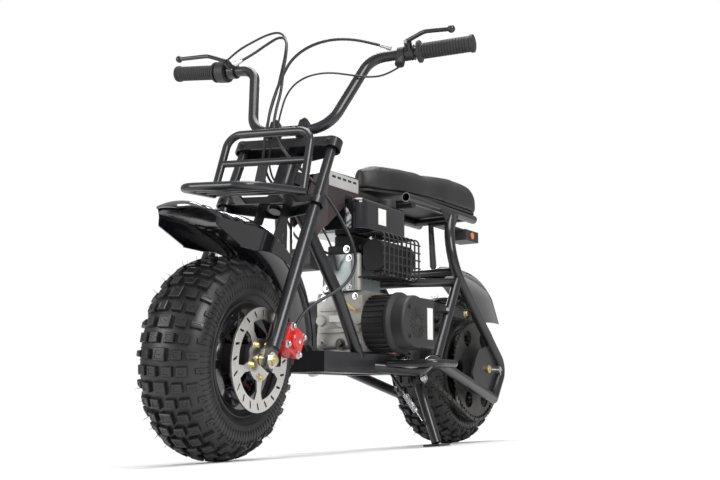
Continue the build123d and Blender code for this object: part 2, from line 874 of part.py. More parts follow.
keep("head_tube", lean_over(head_tube()))
keep("backbone", lean_over(backbone()))


keep("down_tubes", lean_over(left_and_right(down_tube())))
keep("cradle", lean_over(cradle()))
keep("side_hoops", lean_over(hoops))
keep("seat_rails", lean_over(seat_rails()))
keep("frame_braces", lean_over(frame_braces()))


# Footpegs: a flat U of tube out from each hoop with a serrated tread
def footpeg():
    loop = bent_tube(
        [(440, 92, 186), (440, 210, 186), (340, 210, 186), (340, 140, 186)], [24, 24], 16
    )
    teeth = []
    for k in range(peg_teeth):
        x = 350 + 80 / peg_teeth * k
        teeth += [(x, 212), (x + 40 / peg_teeth, 218)]
    tread = Polygon((350, 160), *teeth, (430, 212), (430, 160), align=None)
    tread = Pos(0, 0, 192) * extrude(tread, amount=5)
    return coped(loop + tread, hoop)


keep("footpegs", lean_over(left_and_right(footpeg())))


# Rear wheel, sprocket, brake and axle
def at_rear(shape):
    return lean_over(Pos(0, 0, tyre_r) * shape)


def sprocket():
    plate = Cylinder(sprocket_r, sprocket_t) - Cylinder(axle_d / 2 + 3, sprocket_t)
    plate -= PolarLocations(sprocket_r - 33, 6) * Cylinder(20, sprocket_t)
    plate -= PolarLocations(sprocket_r, sprocket_teeth) * Cylinder(tooth_gap_r, sprocket_t)
    return Pos(0, chain_y, 0) * Rot(-90, 0, 0) * plate


def rear_disc():
    plate = Cylinder(rear_disc_r, rear_disc_t) - Cylinder(axle_d / 2 + 4, rear_disc_t)
    plate -= PolarLocations(48, 8) * Cylinder(7, rear_disc_t)
    return Pos(0, -rear_hub_right - rear_disc_t / 2, 0) * Rot(-90, 0, 0) * plate


def rear_caliper():
    """A block straddling the rear disc, on an arm that hangs on the axle."""
    inside = -rear_hub_right + 8
    outside = -rear_hub_right - 22
    body = block(52, 104, outside, inside, 14, 62)
    body = fillet(body.edges().filter_by(Axis.Y), 8)
    body -= across(
        0, -rear_hub_right - rear_disc_t - caliper_slot, -rear_hub_right + caliper_slot, 0,
        rear_disc_r + caliper_slot,
    )
    arm = side_plate([(-8, -16), (14, -14), (60, 16), (60, 40), (-2, 17)], outside, outside + 5)
    arm += across(0, outside, outside + 5, 0, 17)
    arm -= across(0, outside - 1, outside + 6, 0, axle_d / 2 + fit)
    return body + arm


def rear_axle():
    """The spindle with its spacers, and a nut at each end outside the frame's plates."""
    end = hoop_y
    tip = end + nut_t
    spindle = across(0, -tip, tip, 0, axle_d / 2)
    nut = RegularPolygon(nut_flats / 2, 6, major_radius=False)
    nut = Rot(-90, 0, 0) * extrude(nut, amount=nut_t - 3)
    left = Pos(0, end, 0) * nut
    right = Pos(0, -tip + 3, 0) * nut
    spacer_r = 8.0
    plate_in = hoop_y - 6
    spacers = across(0, chain_y - sprocket_t / 2 + 0.5, plate_in, 0, spacer_r)
    arm_out = rear_hub_right + 22
    spacers += across(0, -plate_in, -arm_out, 0, spacer_r)
    spacers += across(0, -arm_out + 5, -rear_hub_right - 0.5, 0, spacer_r)
    return spindle + left + right + spacers


keep("rear_tyre", at_rear(knobby_tyre))
keep("rear_rim", at_rear(rim()))
keep("rear_hub", at_rear(hub(chain_y - sprocket_t / 2, rear_hub_right)))
keep("sprocket", at_rear(sprocket()))
keep("rear_disc", at_rear(rear_disc()))
keep("rear_caliper", at_rear(rear_caliper()))
keep("rear_axle", at_rear(rear_axle()))


# Chain: one fixed loop round the sprocket and the clutch's pinion
def chain():
    def outline(extra):
        big = Circle(sprocket_r + extra)
        small = Pos(clutch_x, clutch_z - tyre_r) * Circle(pinion_r + extra)
        return make_hull(big.edges() + small.edges())

    inside = 0.4
    loop = extrude(outline(inside + chain_h) - outline(inside), amount=chain_w)
    return Pos(0, chain_y + chain_w / 2, tyre_r) * Rot(90, 0, 0) * loop


keep("drive_chain", lean_over(chain()))


# Engine, tank, exhaust and air cleaner
def crankcase():
    floor = rail_top + engine_plate_t
    body = block(352, 486, -60, 58, floor + 3, case_top)
    body = fillet(body.edges().filter_by(Axis.Y), 14)
    return body + block(360, 480, -58, 58, floor, floor + 10)


def cylinder_shroud():
    body = block(372, 486, -50, 37, case_top, 424)
    return fillet(body.edges().filter_by(Axis.Z), 10)


def fuel_tank():
    """The tank slung under the beam on a pad."""
    body = block(330, tank_front, -84, 84, 470, tank_top)
    body = fillet(body.edges().filter_by(Axis.Z), 26)
    body = fillet(body.edges().group_by(Axis.Z)[-1], 12)
    return body + block(420, 500, -15, 15, tank_top - 2, beam_low - gap)


def fuel_cap():
    align = (Align.CENTER, Align.CENTER, Align.MIN)
    return Pos(372, 50, tank_top) * Cylinder(22, 18, align=align)


def muffler():
    """A flat round-edged box with the stub that comes out of the cylinder."""
    body = block(338, 474, 52, 102, 384, 452)
    body = fillet(body.edges().filter_by(Axis.X), 20)
    return body + across(430, 37, 60, 405, 12)


def muffler_cage():
    """A wire guard: upright hoops over the box, joined by level wires, on short studs."""
    cage = None
    hoops_x = [334 + 18.5 * k for k in range(9)]
    for x in hoops_x:
        bow = bent_tube(
            [(x, 46, 371), (x, 112, 371), (x, 112, 466), (x, 46, 466)], [12, 12], 4
        )
        cage = bow if cage is None else cage + bow
    for z in [383 + 17.5 * k for k in range(5)]:
        cage += rod((326, 111, z), (490, 111, z), 3.4)
    for x in hoops_x[1::3]:
        cage += rod((x, 77, 371), (x, 77, 384), 3.4)
        cage += rod((x, 77, 452), (x, 77, 466), 3.4)
    for z in (371, 466):
        cage += rod((330, 78, z + 1), (486, 78, z + 1), 3.4)
    return cage


def air_cleaner():
    body = block(498, 550, -90, -34, 388, 436)
    body = fillet(body.edges().filter_by(Axis.Y), 12)
    return body + rod((486, -42, 410), (505, -42, 410), 14)


def recoil_starter():
    body = across(crank_x, -104, -60, crank_z, 60)
    return body + across(crank_x, -112, -104, crank_z, 30)


def clutch_housing():
    drum_from = chain_y + chain_w / 2 + 2
    inner = chain_y - chain_w / 2 - 6
    body = across(clutch_x, 58, inner, clutch_z, clutch_r + 2)
    drum = across(clutch_x, drum_from, 122, clutch_z, clutch_r)
    shaft = across(clutch_x, inner, drum_from, clutch_z, pinion_r - 2)
    return body + drum + shaft


def clutch_cover():
    """The chain-side guard: a round front end run back to a square tail."""
    plan = Pos(clutch_x, clutch_z) * Circle(clutch_r)
    plan += Pos(clutch_x - 40, clutch_z) * Rectangle(80, 2 * clutch_r - 6)
    body = Pos(0, 122, 0) * Rot(90, 0, 0) * extrude(plan, amount=-40)
    return fillet(body.faces().sort_by(Axis.Y)[-1].edges(), 8)


def chain_guard():
    """A channel over the chain's upper run, on a tab out to the hoop's strut."""
    back = tyre_r + sprocket_r + chain_h
    front = clutch_z + clutch_r
    outline = [
        (372, front + 4), (138, back + 18), (62, back + 8), (62, back - 10), (140, back - 8),
        (372, front - 24),
    ]
    room = [
        (373, front + 1), (138, back + 15), (61, back + 5), (61, back - 24), (140, back - 24),
        (373, front - 40),
    ]
    sheet = side_plate(outline, 72, 100) - side_plate(room, 71, 97)
    tab = block(212, 236, 98, 132, back - 6, back - 1)
    return sheet + coped(tab, hoop)


for name, make in (
    ("crankcase", crankcase),
    ("cylinder_shroud", cylinder_shroud),
    ("fuel_tank", fuel_tank),
    ("fuel_cap", fuel_cap),
    ("muffler", muffler),
    ("muffler_cage", muffler_cage),
    ("air_cleaner", air_cleaner),
    ("recoil_starter", recoil_starter),
    ("clutch_housing", clutch_housing),
    ("clutch_cover", clutch_cover),
    ("chain_guard", chain_guard),
):
    keep(name, lean_over(make()))


# Bodywork: tank cover, seat and its pan, rear mudguard, tail box
def tank_cover():
    """A pressed shell over the beam and the tank's nose, drawn in towards the head tube."""
    wall = 3.0
    front = head_x - 72
    back = tank_front - 50
    step = tank_front + 6
    outline = [
        (back, 588), (front - 44, 585), (front - 14, 574), (front, 530), (front - 2, 408),
        (front - 30, 460), (step, 518), (step, 541), (back, 541),
    ]
    room = [
        (back - 1, 588 - wall), (front - 44, 585 - wall), (front - 13, 574 - wall),
        (front + 20, 512), (front + 20, 400), (back - 1, 400),
    ]
    plan = Polygon(
        (back - 10, -46), (front - 40, -46), (front - 6, -24), (front + 12, -24),
        (front + 12, 24), (front - 6, 24), (front - 40, 46), (back - 10, 46), align=None,
    )
    inner_plan = offset(plan, -wall) + Pos(back - 10, 0) * Rectangle(20, 86)
    inner_plan += Pos(front + 10, 0) * Rectangle(20, 42)
    shell = side_plate(outline, -50, 50) & extrude(plan, amount=700)
    shell -= side_plate(room, -50, 50) & extrude(inner_plan, amount=700)
    return shell + block(step, step + 24, -12, 12, beam_high + gap, 584)


def seat_plan(inset):
    """The seat from above: wide at the back, drawn in to a round nose."""
    half = seat_half - inset
    back = seat_back + inset
    nose = seat_front - inset
    left = [
        Line((back, half - 26), (back, 0)),
        ThreePointArc((back, half - 26), (back + 9, half - 8), (back + 30, half)),
        Line((back + 30, half), (150, half - 2)),
        ThreePointArc((150, half - 2), (nose - 110, half - 26), (nose - 28, half - 64)),
        ThreePointArc((nose - 28, half - 64), (nose - 7, 17 - inset / 2), (nose, 0)),
    ]
    right = [mirror(e, about=Plane.XZ) for e in left]
    return make_face(left + right)


seat_base = seat_rail_z + seat_rail_d / 2 + gap


def seat_pan():
    return Pos(0, 0, seat_base) * extrude(seat_plan(8), amount=seat_pan_t)


def seat():
    base = seat_base + seat_pan_t + gap
    outline = [
        (seat_back - 1, base), (seat_front + 1, base), (seat_front + 1, base + 44),
        (seat_front - 40, base + 58), (210, base + 62), (96, base + 76), (30, base + 76),
        (seat_back - 1, base + 30),
    ]
    body = Pos(0, 0, base) * extrude(seat_plan(0), amount=200)
    return body & side_plate(outline, -seat_half - 5, seat_half + 5)


def rear_guard():
    """An arched guard with a straight tail, on two stays up to the seat's cross tube."""
    bend = wheel_guard(rear_guard_r, rear_guard_w, rear_guard_drop, 54, rear_guard_to)
    tail = guard_end(
        rear_guard_r, rear_guard_w, rear_guard_drop, rear_guard_to, 1, rear_guard_tail, 84
    )
    guard = Pos(0, 0, tyre_r) * (bend + tail)
    low = tyre_r + rear_guard_r - guard_t - 2
    stay = side_plate([(8, 563), (32, 563), (24, low), (-8, low)], 26, 29)
    stay -= across(20, 0, 60, seat_rail_z, 9 + gap)
    return guard + stay + mirror(stay, about=Plane.XZ)


def tail_box():
    """A box behind the seat, on a strip under the rails' rear cross tube."""
    box = block(-148, -72, -28, 28, 530, 559)
    return box + block(-80, 30, -20, 20, 555, seat_rail_z - 9 - gap)


for name, make in (
    ("tank_cover", tank_cover),
    ("seat_pan", seat_pan),
    ("seat", seat),
    ("rear_guard", rear_guard),
    ("tail_box", tail_box),
):
    keep(name, lean_over(make()))


# Side stand: pivots between the ears under the left rail and folds back
def side_stand():
    eye = Cylinder(stand_eye_r, stand_eye_t) - Cylinder(stand_pin_d / 2 + fit, stand_eye_t)
    top = Vector(stand_x, stand_y, stand_z)
    foot = Vector(foot_x, foot_y, stand_foot_z)
    way = (foot - top).normalized()
    leg = rod(top + way * (stand_eye_r - 5), foot, stand_d)
    ear_room = stand_eye_t / 2
    side = stand_line().location
    for sign in (1, -1):
        leg -= side * (Pos(0, 0, sign * (ear_room + 15)) * Cylinder(stand_eye_r + 3, 30))
    drop = crown_r * (1 - math.cos(math.radians(lean)))
    pad = Box(50, 38, 5, align=(Align.CENTER, Align.CENTER, Align.MIN))
    at = Vector(foot_x, foot_y, 12).rotate(Axis.X, -lean)
    pad = (Pos(at.X, at.Y, -drop) * pad).rotate(Axis.X, lean)
    lug = rod(top + way * 106, Vector(*spring_low), 6)
    return side * eye + leg + pad + lug


def stand_spring():
    """The spring that holds the stand out, between the frame's hook and the leg's lug."""
    low = Vector(*spring_low)
    high = Vector(*spring_top)
    way = (high - low).normalized()
    return rod(low + way * 2.3, high - way * 2.3, spring_d)


keep("side_stand", lean_over(side_stand()))
keep("stand_spring", lean_over(stand_spring()))


# Cables: points of the straight-ahead bike, (x, y, z); those of the fork turn with it
def turned_point(x, y, z):
    """A point of the fork, turned and leaned to where it rests."""
    about = Axis((0, 0, 0), steer_axis.direction)
    moved = (Vector(x, y, z) - steer_axis.position).rotate(about, steer_rest)
    return (moved + steer_axis.position).rotate(Axis.X, -lean)


def still_point(x, y, z):
    return Vector(x, y, z).rotate(Axis.X, -lean)


def cable(name, fork_points, frame_points, diameter):
    """A cable along straight runs, each corner as round as its two runs allow."""
    points = [turned_point(*p) for p in fork_points] + [still_point(*p) for p in frame_points]
    radii = []
    for before, here, after in zip(points, points[1:], points[2:]):
        half_turn = math.radians((here - before).get_angle(after - here) / 2)
        run = min((here - before).length, (after - here).length)
        radii.append(0.45 * run / math.tan(half_turn))
    runs = [(b - a).length for a, b in zip(points, points[1:])]
    print(name, "radii", [round(r) for r in radii], "runs", [round(r) for r in runs])
    keep(name, bent_tube([tuple(p) for p in points], radii, diameter))


front_brake_route = [
    (626, -178, 834), (630, -140, 846), (636, -100, 864), (650, -58, 874), (672, -26, 858),
    (690, -14, 820), (702, -12, 776), (708, -10, 732), (724, -10, 690), (728, -12, 650),
    (730, 8, 614), (732, 34, 586), (720, 60, 560), (704, 82, 536), (700, 113, 503),
    (698, 139, 466), (695, 162, 427), (687, 171, 388), (697, 168, 353), (722, 155, 326),
    (752, 129, 302), (780, 108, 276), (795.4, 104, 246.7),
]
throttle_route = [
    (599, -222, 853), (604, -196, 870), (612, -150, 884), (622, -104, 894), (636, -64, 890),
    (652, -38, 866), (672, -27, 826), (690, -23, 782), (704, -22, 738), (714, -28, 694),
    (722, -32, 652), (716, -40, 612), (700, -42, 576), (682, -38, 548),
]
throttle_end = [
    (658, -12, 526), (628, -10, 504), (596, -20, 484), (560, -44, 466), (532, -62, 450),
    (524, -66, 438),
]
rear_brake_route = [
    (640, 196, 828), (654, 164, 836), (674, 126, 842), (694, 86, 838), (710, 48, 822),
    (718, 16, 796), (716, -4, 764), (716, -18, 730), (730, -20, 690), (734, -22, 650),
    (728, -30, 612), (714, -40, 578), (692, -48, 550),
]
rear_brake_end = [
    (664, -46, 524), (634, -50, 502), (598, -58, 482), (556, -78, 470), (508, -98, 462),
    (452, -104, 454), (396, -98, 446), (346, -84, 436), (304, -70, 416), (268, -64, 386),
    (228, -68, 352), (188, -76, 318), (150, -82, 290), (118, -84, 268), (98, -84, 248.8),
]
kill_wire_route = [
    (612, 212, 796), (622, 186, 776), (636, 152, 770), (652, 116, 774), (674, 80, 776),
    (696, 48, 766), (708, 22, 748), (712, 4, 722), (712, -5, 690), (716, -10, 650),
    (714, -26, 612), (700, -32, 576), (682, -28, 548),
]
kill_wire_end = [
    (656, -3, 526), (626, 4, 504), (590, 10, 482), (552, 8, 458), (520, 2, 432),
    (498, -4, 406), (489, -6, 388),
]
cable("front_brake_cable", front_brake_route, [], brake_cable_d)
cable("throttle_cable", throttle_route, throttle_end, throttle_cable_d)
cable("rear_brake_cable", rear_brake_route, rear_brake_end, brake_cable_d)
cable("kill_wire", kill_wire_route, kill_wire_end, wire_d)


def finish():
    os.makedirs("parts", exist_ok=True)
    whole = Compound(list(pieces.values())).bounding_box()
    shift = Location((-whole.center().X, -whole.center().Y, -whole.min.Z))
    print("origin at", whole.center().X, whole.center().Y, whole.min.Z)
    print("size", whole.size)
    for name, shape in pieces.items():
        export_step(shape.moved(shift), f"parts/{name}.step")


finish()
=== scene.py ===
# %% [markdown]
# # Dressing a mini dirt bike
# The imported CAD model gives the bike's solids in metres, leaning on its side stand. This lesson
# dresses them: rounded edges and paint on the steel, knobs on the tyres, cables that hang, and a
# padded seat. Each step says what the piece is on the real bike and why it is made so.

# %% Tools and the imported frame
import json
import math

import bmesh
import bpy
import numpy as np
from mathutils import Matrix, Vector


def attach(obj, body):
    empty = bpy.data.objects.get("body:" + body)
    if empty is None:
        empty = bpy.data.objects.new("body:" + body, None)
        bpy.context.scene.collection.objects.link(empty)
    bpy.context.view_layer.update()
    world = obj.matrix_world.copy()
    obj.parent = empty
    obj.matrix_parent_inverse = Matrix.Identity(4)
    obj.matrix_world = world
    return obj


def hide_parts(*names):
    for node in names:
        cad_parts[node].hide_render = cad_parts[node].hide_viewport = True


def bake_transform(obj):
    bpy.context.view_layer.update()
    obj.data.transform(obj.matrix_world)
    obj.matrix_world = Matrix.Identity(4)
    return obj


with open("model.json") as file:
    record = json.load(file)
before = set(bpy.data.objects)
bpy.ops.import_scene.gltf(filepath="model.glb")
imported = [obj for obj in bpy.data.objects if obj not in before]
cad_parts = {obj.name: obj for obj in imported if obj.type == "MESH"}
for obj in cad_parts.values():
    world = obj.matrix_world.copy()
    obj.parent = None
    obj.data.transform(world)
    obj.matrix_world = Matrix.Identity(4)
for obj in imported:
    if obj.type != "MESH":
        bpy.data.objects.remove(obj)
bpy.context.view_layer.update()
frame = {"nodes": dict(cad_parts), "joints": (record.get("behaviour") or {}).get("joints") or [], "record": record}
nodes = frame["nodes"]
joints = {joint["name"]: joint for joint in frame["joints"]}
body_of = {n: b for b, ns in frame["record"]["behaviour"]["bodies"].items() for n in ns}

# %% [markdown]
# ## One drawing frame for the whole bike
# A bike is drawn upright and in millimetres, with X forward, Y to the rider's left and the rear
# axle above the origin. The parked bike is that drawing leaned about X and moved so that the
# middle of its base is the origin. The front group is drawn along its own steering line: n is
# ahead of the fork legs, s is up along them, both from the front axle. Three short functions
# take whole arrays of points from the drawings to the scene, so no piece is placed by eye.

# %% From the drawings to the parked bike
MM = 0.001
WHEELBASE = 879.0
WHEEL_R = 185.0
RAKE = math.radians(24.2)
AXLE_LEAD = 23.5
STEERED = math.radians(7.9)
LEAN = math.radians(4.0)
STEER_LINE = np.array([-math.sin(RAKE), 0.0, math.cos(RAKE)])
AHEAD = np.array([math.cos(RAKE), 0.0, math.sin(RAKE)])
REAR_AXLE = np.array([0.0, 0.0, WHEEL_R])
FRONT_AXLE = np.array([WHEELBASE, 0.0, WHEEL_R])
STEER_FOOT = FRONT_AXLE - AXLE_LEAD * AHEAD


def turn(points, axis, angle):
    """Points about an axis through the origin: p cos a + (k x p) sin a + k (k.p)(1 - cos a)."""
    points = np.asarray(points, float)
    along = (points @ axis)[..., None] * axis
    return points * math.cos(angle) + np.cross(axis, points) * math.sin(angle) \
        + along * (1 - math.cos(angle))


def leaned(points):
    return turn(points, np.array([1.0, 0.0, 0.0]), -LEAN)


MOVE = np.array(joints["rear_wheel_spin"]["pos_m"]) - leaned(REAR_AXLE) * MM


def bike(points):
    """Drawing millimetres to scene metres: leaned about X, then moved."""
    return leaned(points) * MM + MOVE


def steered(points):
    """Points of the straight-ahead drawing that turn with the bars."""
    return bike(turn(np.asarray(points, float) - STEER_FOOT, STEER_LINE, STEERED) + STEER_FOOT)


def fork(points):
    """(n, y, s) of the fork's drawing to the scene."""
    n, y, s = np.moveaxis(np.asarray(points, float), -1, 0)
    flat = n[..., None] * AHEAD + s[..., None] * STEER_LINE
    flat[..., 1] += y
    return steered(flat + FRONT_AXLE)


def rear(points):
    """Points drawn about the rear axle."""
    return bike(np.asarray(points, float) + REAR_AXLE)


def front(points):
    """Points drawn about the front axle, straight ahead."""
    return steered(np.asarray(points, float) + FRONT_AXLE)


def linked(name, data):
    """A new object of this data, in the scene."""
    thing = bpy.data.objects.new(name, data)
    bpy.context.scene.collection.objects.link(thing)
    return thing


print("rear axle at", np.round(bike(REAR_AXLE), 4))

# %% [markdown]
# ## The camera
# The photograph looks up at the bike from just above the floor, from its front left. The place,
# the angles and the lens were fitted to the wheels, the bars and the frame.

# %% The photograph's camera
EYE = Vector((1.83744, 1.13014, 0.03010))
YAW = math.radians(212.15)
PITCH = math.radians(11.3)
ROLL = math.radians(-3.39)
LENS = 49.08
SENSOR = 36.0


def photo_camera():
    """Columns of the camera's matrix: right, up and back, rolled about the line of sight."""
    flat = math.cos(PITCH)
    sight = Vector((math.cos(YAW) * flat, math.sin(YAW) * flat, math.sin(PITCH)))
    level = sight.cross(Vector((0, 0, 1))).normalized()
    upright = level.cross(sight)
    right = math.cos(ROLL) * level + math.sin(ROLL) * upright
    up = math.cos(ROLL) * upright - math.sin(ROLL) * level
    data = bpy.data.cameras.new("photo_camera")
    data.lens = LENS
    data.sensor_width = SENSOR
    data.sensor_fit = "HORIZONTAL"
    camera = linked("photo_camera", data)
    axes = Matrix((right, up, -sight)).transposed().to_4x4()
    camera.matrix_world = Matrix.Translation(EYE) @ axes
    bpy.context.scene.camera = camera
    return camera


print("camera", photo_camera().name)

# %% [markdown]
# ## Cables
# Four cables run from the bars: two brake cables, the throttle cable and the stop switch's wire.
# Each is a smooth NURBS line whose control points are the route's points, so it leaves its
# lever, arches over the bars and sags down to its end. One rides whole on the fork. The others
# cross the steering head, so they are meshed round that line and bend between fork and frame.

# %% Routes, point by point, and the line through them
FRONT_BRAKE = [
    (626, -178, 834), (630, -140, 846), (636, -100, 864), (650, -58, 874), (672, -26, 858),
    (690, -14, 820), (702, -12, 776), (708, -10, 732), (724, -10, 690), (728, -12, 650),
    (730, 8, 614), (732, 34, 586), (720, 60, 560), (704, 82, 536), (700, 113, 503),
    (698, 139, 466), (695, 162, 427), (687, 171, 388), (697, 168, 353), (722, 155, 326),
    (752, 129, 302), (780, 108, 276), (795.4, 104, 246.7),
]
THROTTLE = [
    (599, -222, 853), (604, -196, 870), (612, -150, 884), (622, -104, 894), (636, -64, 890),
    (652, -38, 866), (672, -27, 826), (690, -23, 782), (704, -22, 738), (714, -28, 694),
    (722, -32, 652), (716, -40, 612), (700, -42, 576), (682, -38, 548),
]
THROTTLE_END = [
    (658, -12, 526), (628, -10, 504), (596, -20, 484), (560, -44, 466), (532, -62, 450),
    (524, -66, 438),
]
REAR_BRAKE = [
    (640, 196, 828), (654, 164, 836), (674, 126, 842), (694, 86, 838), (710, 48, 822),
    (718, 16, 796), (716, -4, 764), (716, -18, 730), (730, -20, 690), (734, -22, 650),
    (728, -30, 612), (714, -40, 578), (692, -48, 550),
]
REAR_BRAKE_END = [
    (664, -46, 524), (634, -50, 502), (598, -58, 482), (556, -78, 470), (508, -98, 462),
    (452, -104, 454), (396, -98, 446), (346, -84, 436), (304, -70, 416), (268, -64, 386),
    (228, -68, 352), (188, -76, 318), (150, -82, 290), (118, -84, 268), (98, -84, 248.8),
]
KILL_WIRE = [
    (612, 212, 796), (622, 186, 776), (636, 152, 770), (652, 116, 774), (674, 80, 776),
    (696, 48, 766), (708, 22, 748), (712, 4, 722), (712, -5, 690), (716, -10, 650),
    (714, -26, 612), (700, -32, 576), (682, -28, 548),
]
KILL_WIRE_END = [
    (656, -3, 526), (626, 4, 504), (590, 10, 482), (552, 8, 458), (520, 2, 432),
    (498, -4, 406), (489, -6, 388),
]


def nurbs_curve(name, points):
    """One open spline of order 3 with these control points, which starts and ends on them."""
    data = bpy.data.curves.new(name, "CURVE")
    data.dimensions = "3D"
    data.resolution_u = 8
    spline = data.splines.new("NURBS")
    spline.points.add(len(points) - 1)
    spline.points.foreach_set("co", np.column_stack([points, np.ones(len(points))]).ravel())
    spline.order_u = 3
    spline.use_endpoint_u = True
    return linked(name, data)


def points_of(mesh):
    flat = np.empty(3 * len(mesh.vertices))
    mesh.vertices.foreach_get("co", flat)
    return flat.reshape(-1, 3)


def line_of(curve):
    """The points that Blender works out along a curve that has no bevel."""
    mesh = bpy.data.meshes.new_from_object(curve)
    points = points_of(mesh)
    bpy.data.meshes.remove(mesh)
    return points


def length_of(path):
    return float(np.linalg.norm(np.diff(path, axis=0), axis=1).sum())


# %% [markdown]
# ## Shapes as arrays
# A shape here is a pair: an array of points, and arrays of faces that index it. A grid joins a
# sheet of points P[u, v] with quads; a tube, a turned part and a plate are all grids whose points
# come from a formula. Working on whole arrays is fast, and the formula stays readable.

# %% Grids, tubes, turned parts and plates
def grid(points, wrap_u=False, wrap_v=False):
    """Quads between neighbours P[u, v]; a wrapped way joins its last row to its first."""
    rows, columns = points.shape[:2]
    ids = np.arange(rows * columns).reshape(rows, columns)
    here, there = (ids, np.roll(ids, -1, 0)) if wrap_u else (ids[:-1], ids[1:])
    if wrap_v:
        corners = [here, there, np.roll(there, -1, 1), np.roll(here, -1, 1)]
    else:
        corners = [here[:, :-1], there[:, :-1], there[:, 1:], here[:, 1:]]
    return points.reshape(-1, 3), [np.stack(corners, -1).reshape(-1, 4)]


def capped(points):
    """A stack of closed rings P[u, v] with its first and last ring filled."""
    flat, faces = grid(points, wrap_v=True)
    count = points.shape[1]
    first = np.arange(count)[None, ::-1]
    last = np.arange(len(flat) - count, len(flat))[None]
    return flat, faces + [first, last]


def joined(*shapes):
    """Several shapes as one: points stacked, faces moved on by the points before them."""
    points = np.concatenate([shape[0] for shape in shapes])
    starts = np.cumsum([0] + [len(shape[0]) for shape in shapes[:-1]])
    return points, [face + start for shape, start in zip(shapes, starts) for face in shape[1]]


def unit(vectors):
    """A vector, or each row of many, scaled to length 1."""
    vectors = np.asarray(vectors, float)
    return vectors / np.linalg.norm(vectors, axis=-1, keepdims=True)


def on_circle(angle):
    """Points of the unit circle."""
    return np.stack([np.cos(angle), np.sin(angle)], -1)


def placed(shape, place):
    """The same faces with their points put through one of the drawing functions."""
    return place(shape[0]), shape[1]


def rounded_path(corners, radii, steps=10):
    """Straight runs with each corner cut by an arc tangent to both: centre on the bisector,
    r / cos(half turn) from the corner, swept through the turn."""
    corners = np.asarray(corners, float)
    path = [corners[0]]
    for before, here, after, radius in zip(corners, corners[1:], corners[2:], radii):
        back = unit(before - here)
        on = unit(after - here)
        half = 0.5 * (math.pi - math.acos(float(np.clip(back @ on, -1, 1))))
        start = here + back * radius * math.tan(half)
        centre = here + unit(back + on) * radius / math.cos(half)
        a = (start - centre) / radius
        b = -back
        angle = np.linspace(0, 2 * half, steps)[:, None]
        path.extend(centre + radius * (a * np.cos(angle) + b * np.sin(angle)))
    path.append(corners[-1])
    return np.array(path)


def ringed(path, along, side, radius, sides):
    """Rings round a path: path(u) + r (N cos v + B sin v), with N and B square to it."""
    other = np.cross(along, side)
    angle = np.linspace(0, 2 * math.pi, sides, endpoint=False)[None, :, None]
    ring = side[:, None] * np.cos(angle) + other[:, None] * np.sin(angle)
    return capped(path[:, None] + radius * ring)


def tube(path, radius, sides):
    """A tube whose N comes from the path's flattest direction, so that it doesn't twist."""
    path = np.asarray(path, float)
    along = unit(np.gradient(path, axis=0))
    flattest = np.linalg.svd(path - path.mean(0))[2][2]
    return ringed(path, along, unit(np.cross(along, flattest)), radius, sides)


def spun(profile, sides):
    """A ring about the Y axis from a closed line of (r, y) points: (r cos v, y, r sin v)."""
    profile = np.asarray(profile, float)
    angle = np.linspace(0, 2 * math.pi, sides, endpoint=False)[None]
    r, y = profile[:, :1], profile[:, 1:]
    points = np.stack([r * np.cos(angle), y + 0 * angle, r * np.sin(angle)], -1)
    return grid(points, wrap_u=True, wrap_v=True)


def plate(outline, low, high, edge):
    """A plate of (a, b) outline from low to high in c, its rims drawn in by edge:
    each point moves in along the mean of its two sides' normals."""
    outline = np.asarray(outline, float)
    after = np.roll(outline, -1, 0)
    on = unit(after - outline)
    back = np.roll(on, 1, 0)
    normal = np.stack([on[:, 1] + back[:, 1], -on[:, 0] - back[:, 0]], 1)
    size = 1 + (on * back).sum(1, keepdims=True)
    area = 0.5 * np.sum(outline[:, 0] * after[:, 1] - outline[:, 1] * after[:, 0])
    inner = outline - math.copysign(edge, area) * normal / np.maximum(size, 0.3)
    rings = [(inner, low), (outline, low + edge), (outline, high - edge), (inner, high)]
    points = np.stack([np.column_stack([ring, np.full(len(ring), c)]) for ring, c in rings])
    return capped(points)


SAME_POINT = 1e-6


def smooth_up_to(mesh, degrees):
    mesh.polygons.foreach_set("use_smooth", np.ones(len(mesh.polygons), bool))
    mesh.set_sharp_from_angle(angle=math.radians(degrees))


def make(name, shape, body, look, smooth=38.0):
    """A mesh object from a shape: doubles merged, faces turned outwards, smooth up to an angle.
    A piece that is to be blended between two bodies rides on none."""
    mesh = bpy.data.meshes.new(name)
    faces = [row for rows in shape[1] for row in rows.tolist()]
    mesh.from_pydata(shape[0].tolist(), [], faces)
    form = bmesh.new()
    form.from_mesh(mesh)
    bmesh.ops.remove_doubles(form, verts=form.verts, dist=SAME_POINT)
    bmesh.ops.recalc_face_normals(form, faces=form.faces)
    form.to_mesh(mesh)
    form.free()
    smooth_up_to(mesh, smooth)
    mesh.materials.append(look)
    piece = linked(name, mesh)
    if body:
        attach(piece, body)
    return piece


# %% [markdown]
# ## Finishes
# A finish starts from a plain colour, roughness and metalness on the shader itself. Noise on
# Object coordinates then breaks up the colour and the gloss, and a finer texture goes to a bump
# node for grain. Scales are in waves per metre, so 900 is about a millimetre, as on powder coat.

# %% One function for most finishes
COAT_ROUGHNESS = 0.06


def settings(node, values):
    for name, value in values.items():
        node.inputs[name].default_value = value


def shader_node(tree, kind, values=None):
    """A new shader node of a kind, with some of its inputs set."""
    node = tree.nodes.new("ShaderNode" + kind)
    settings(node, values or {})
    return node


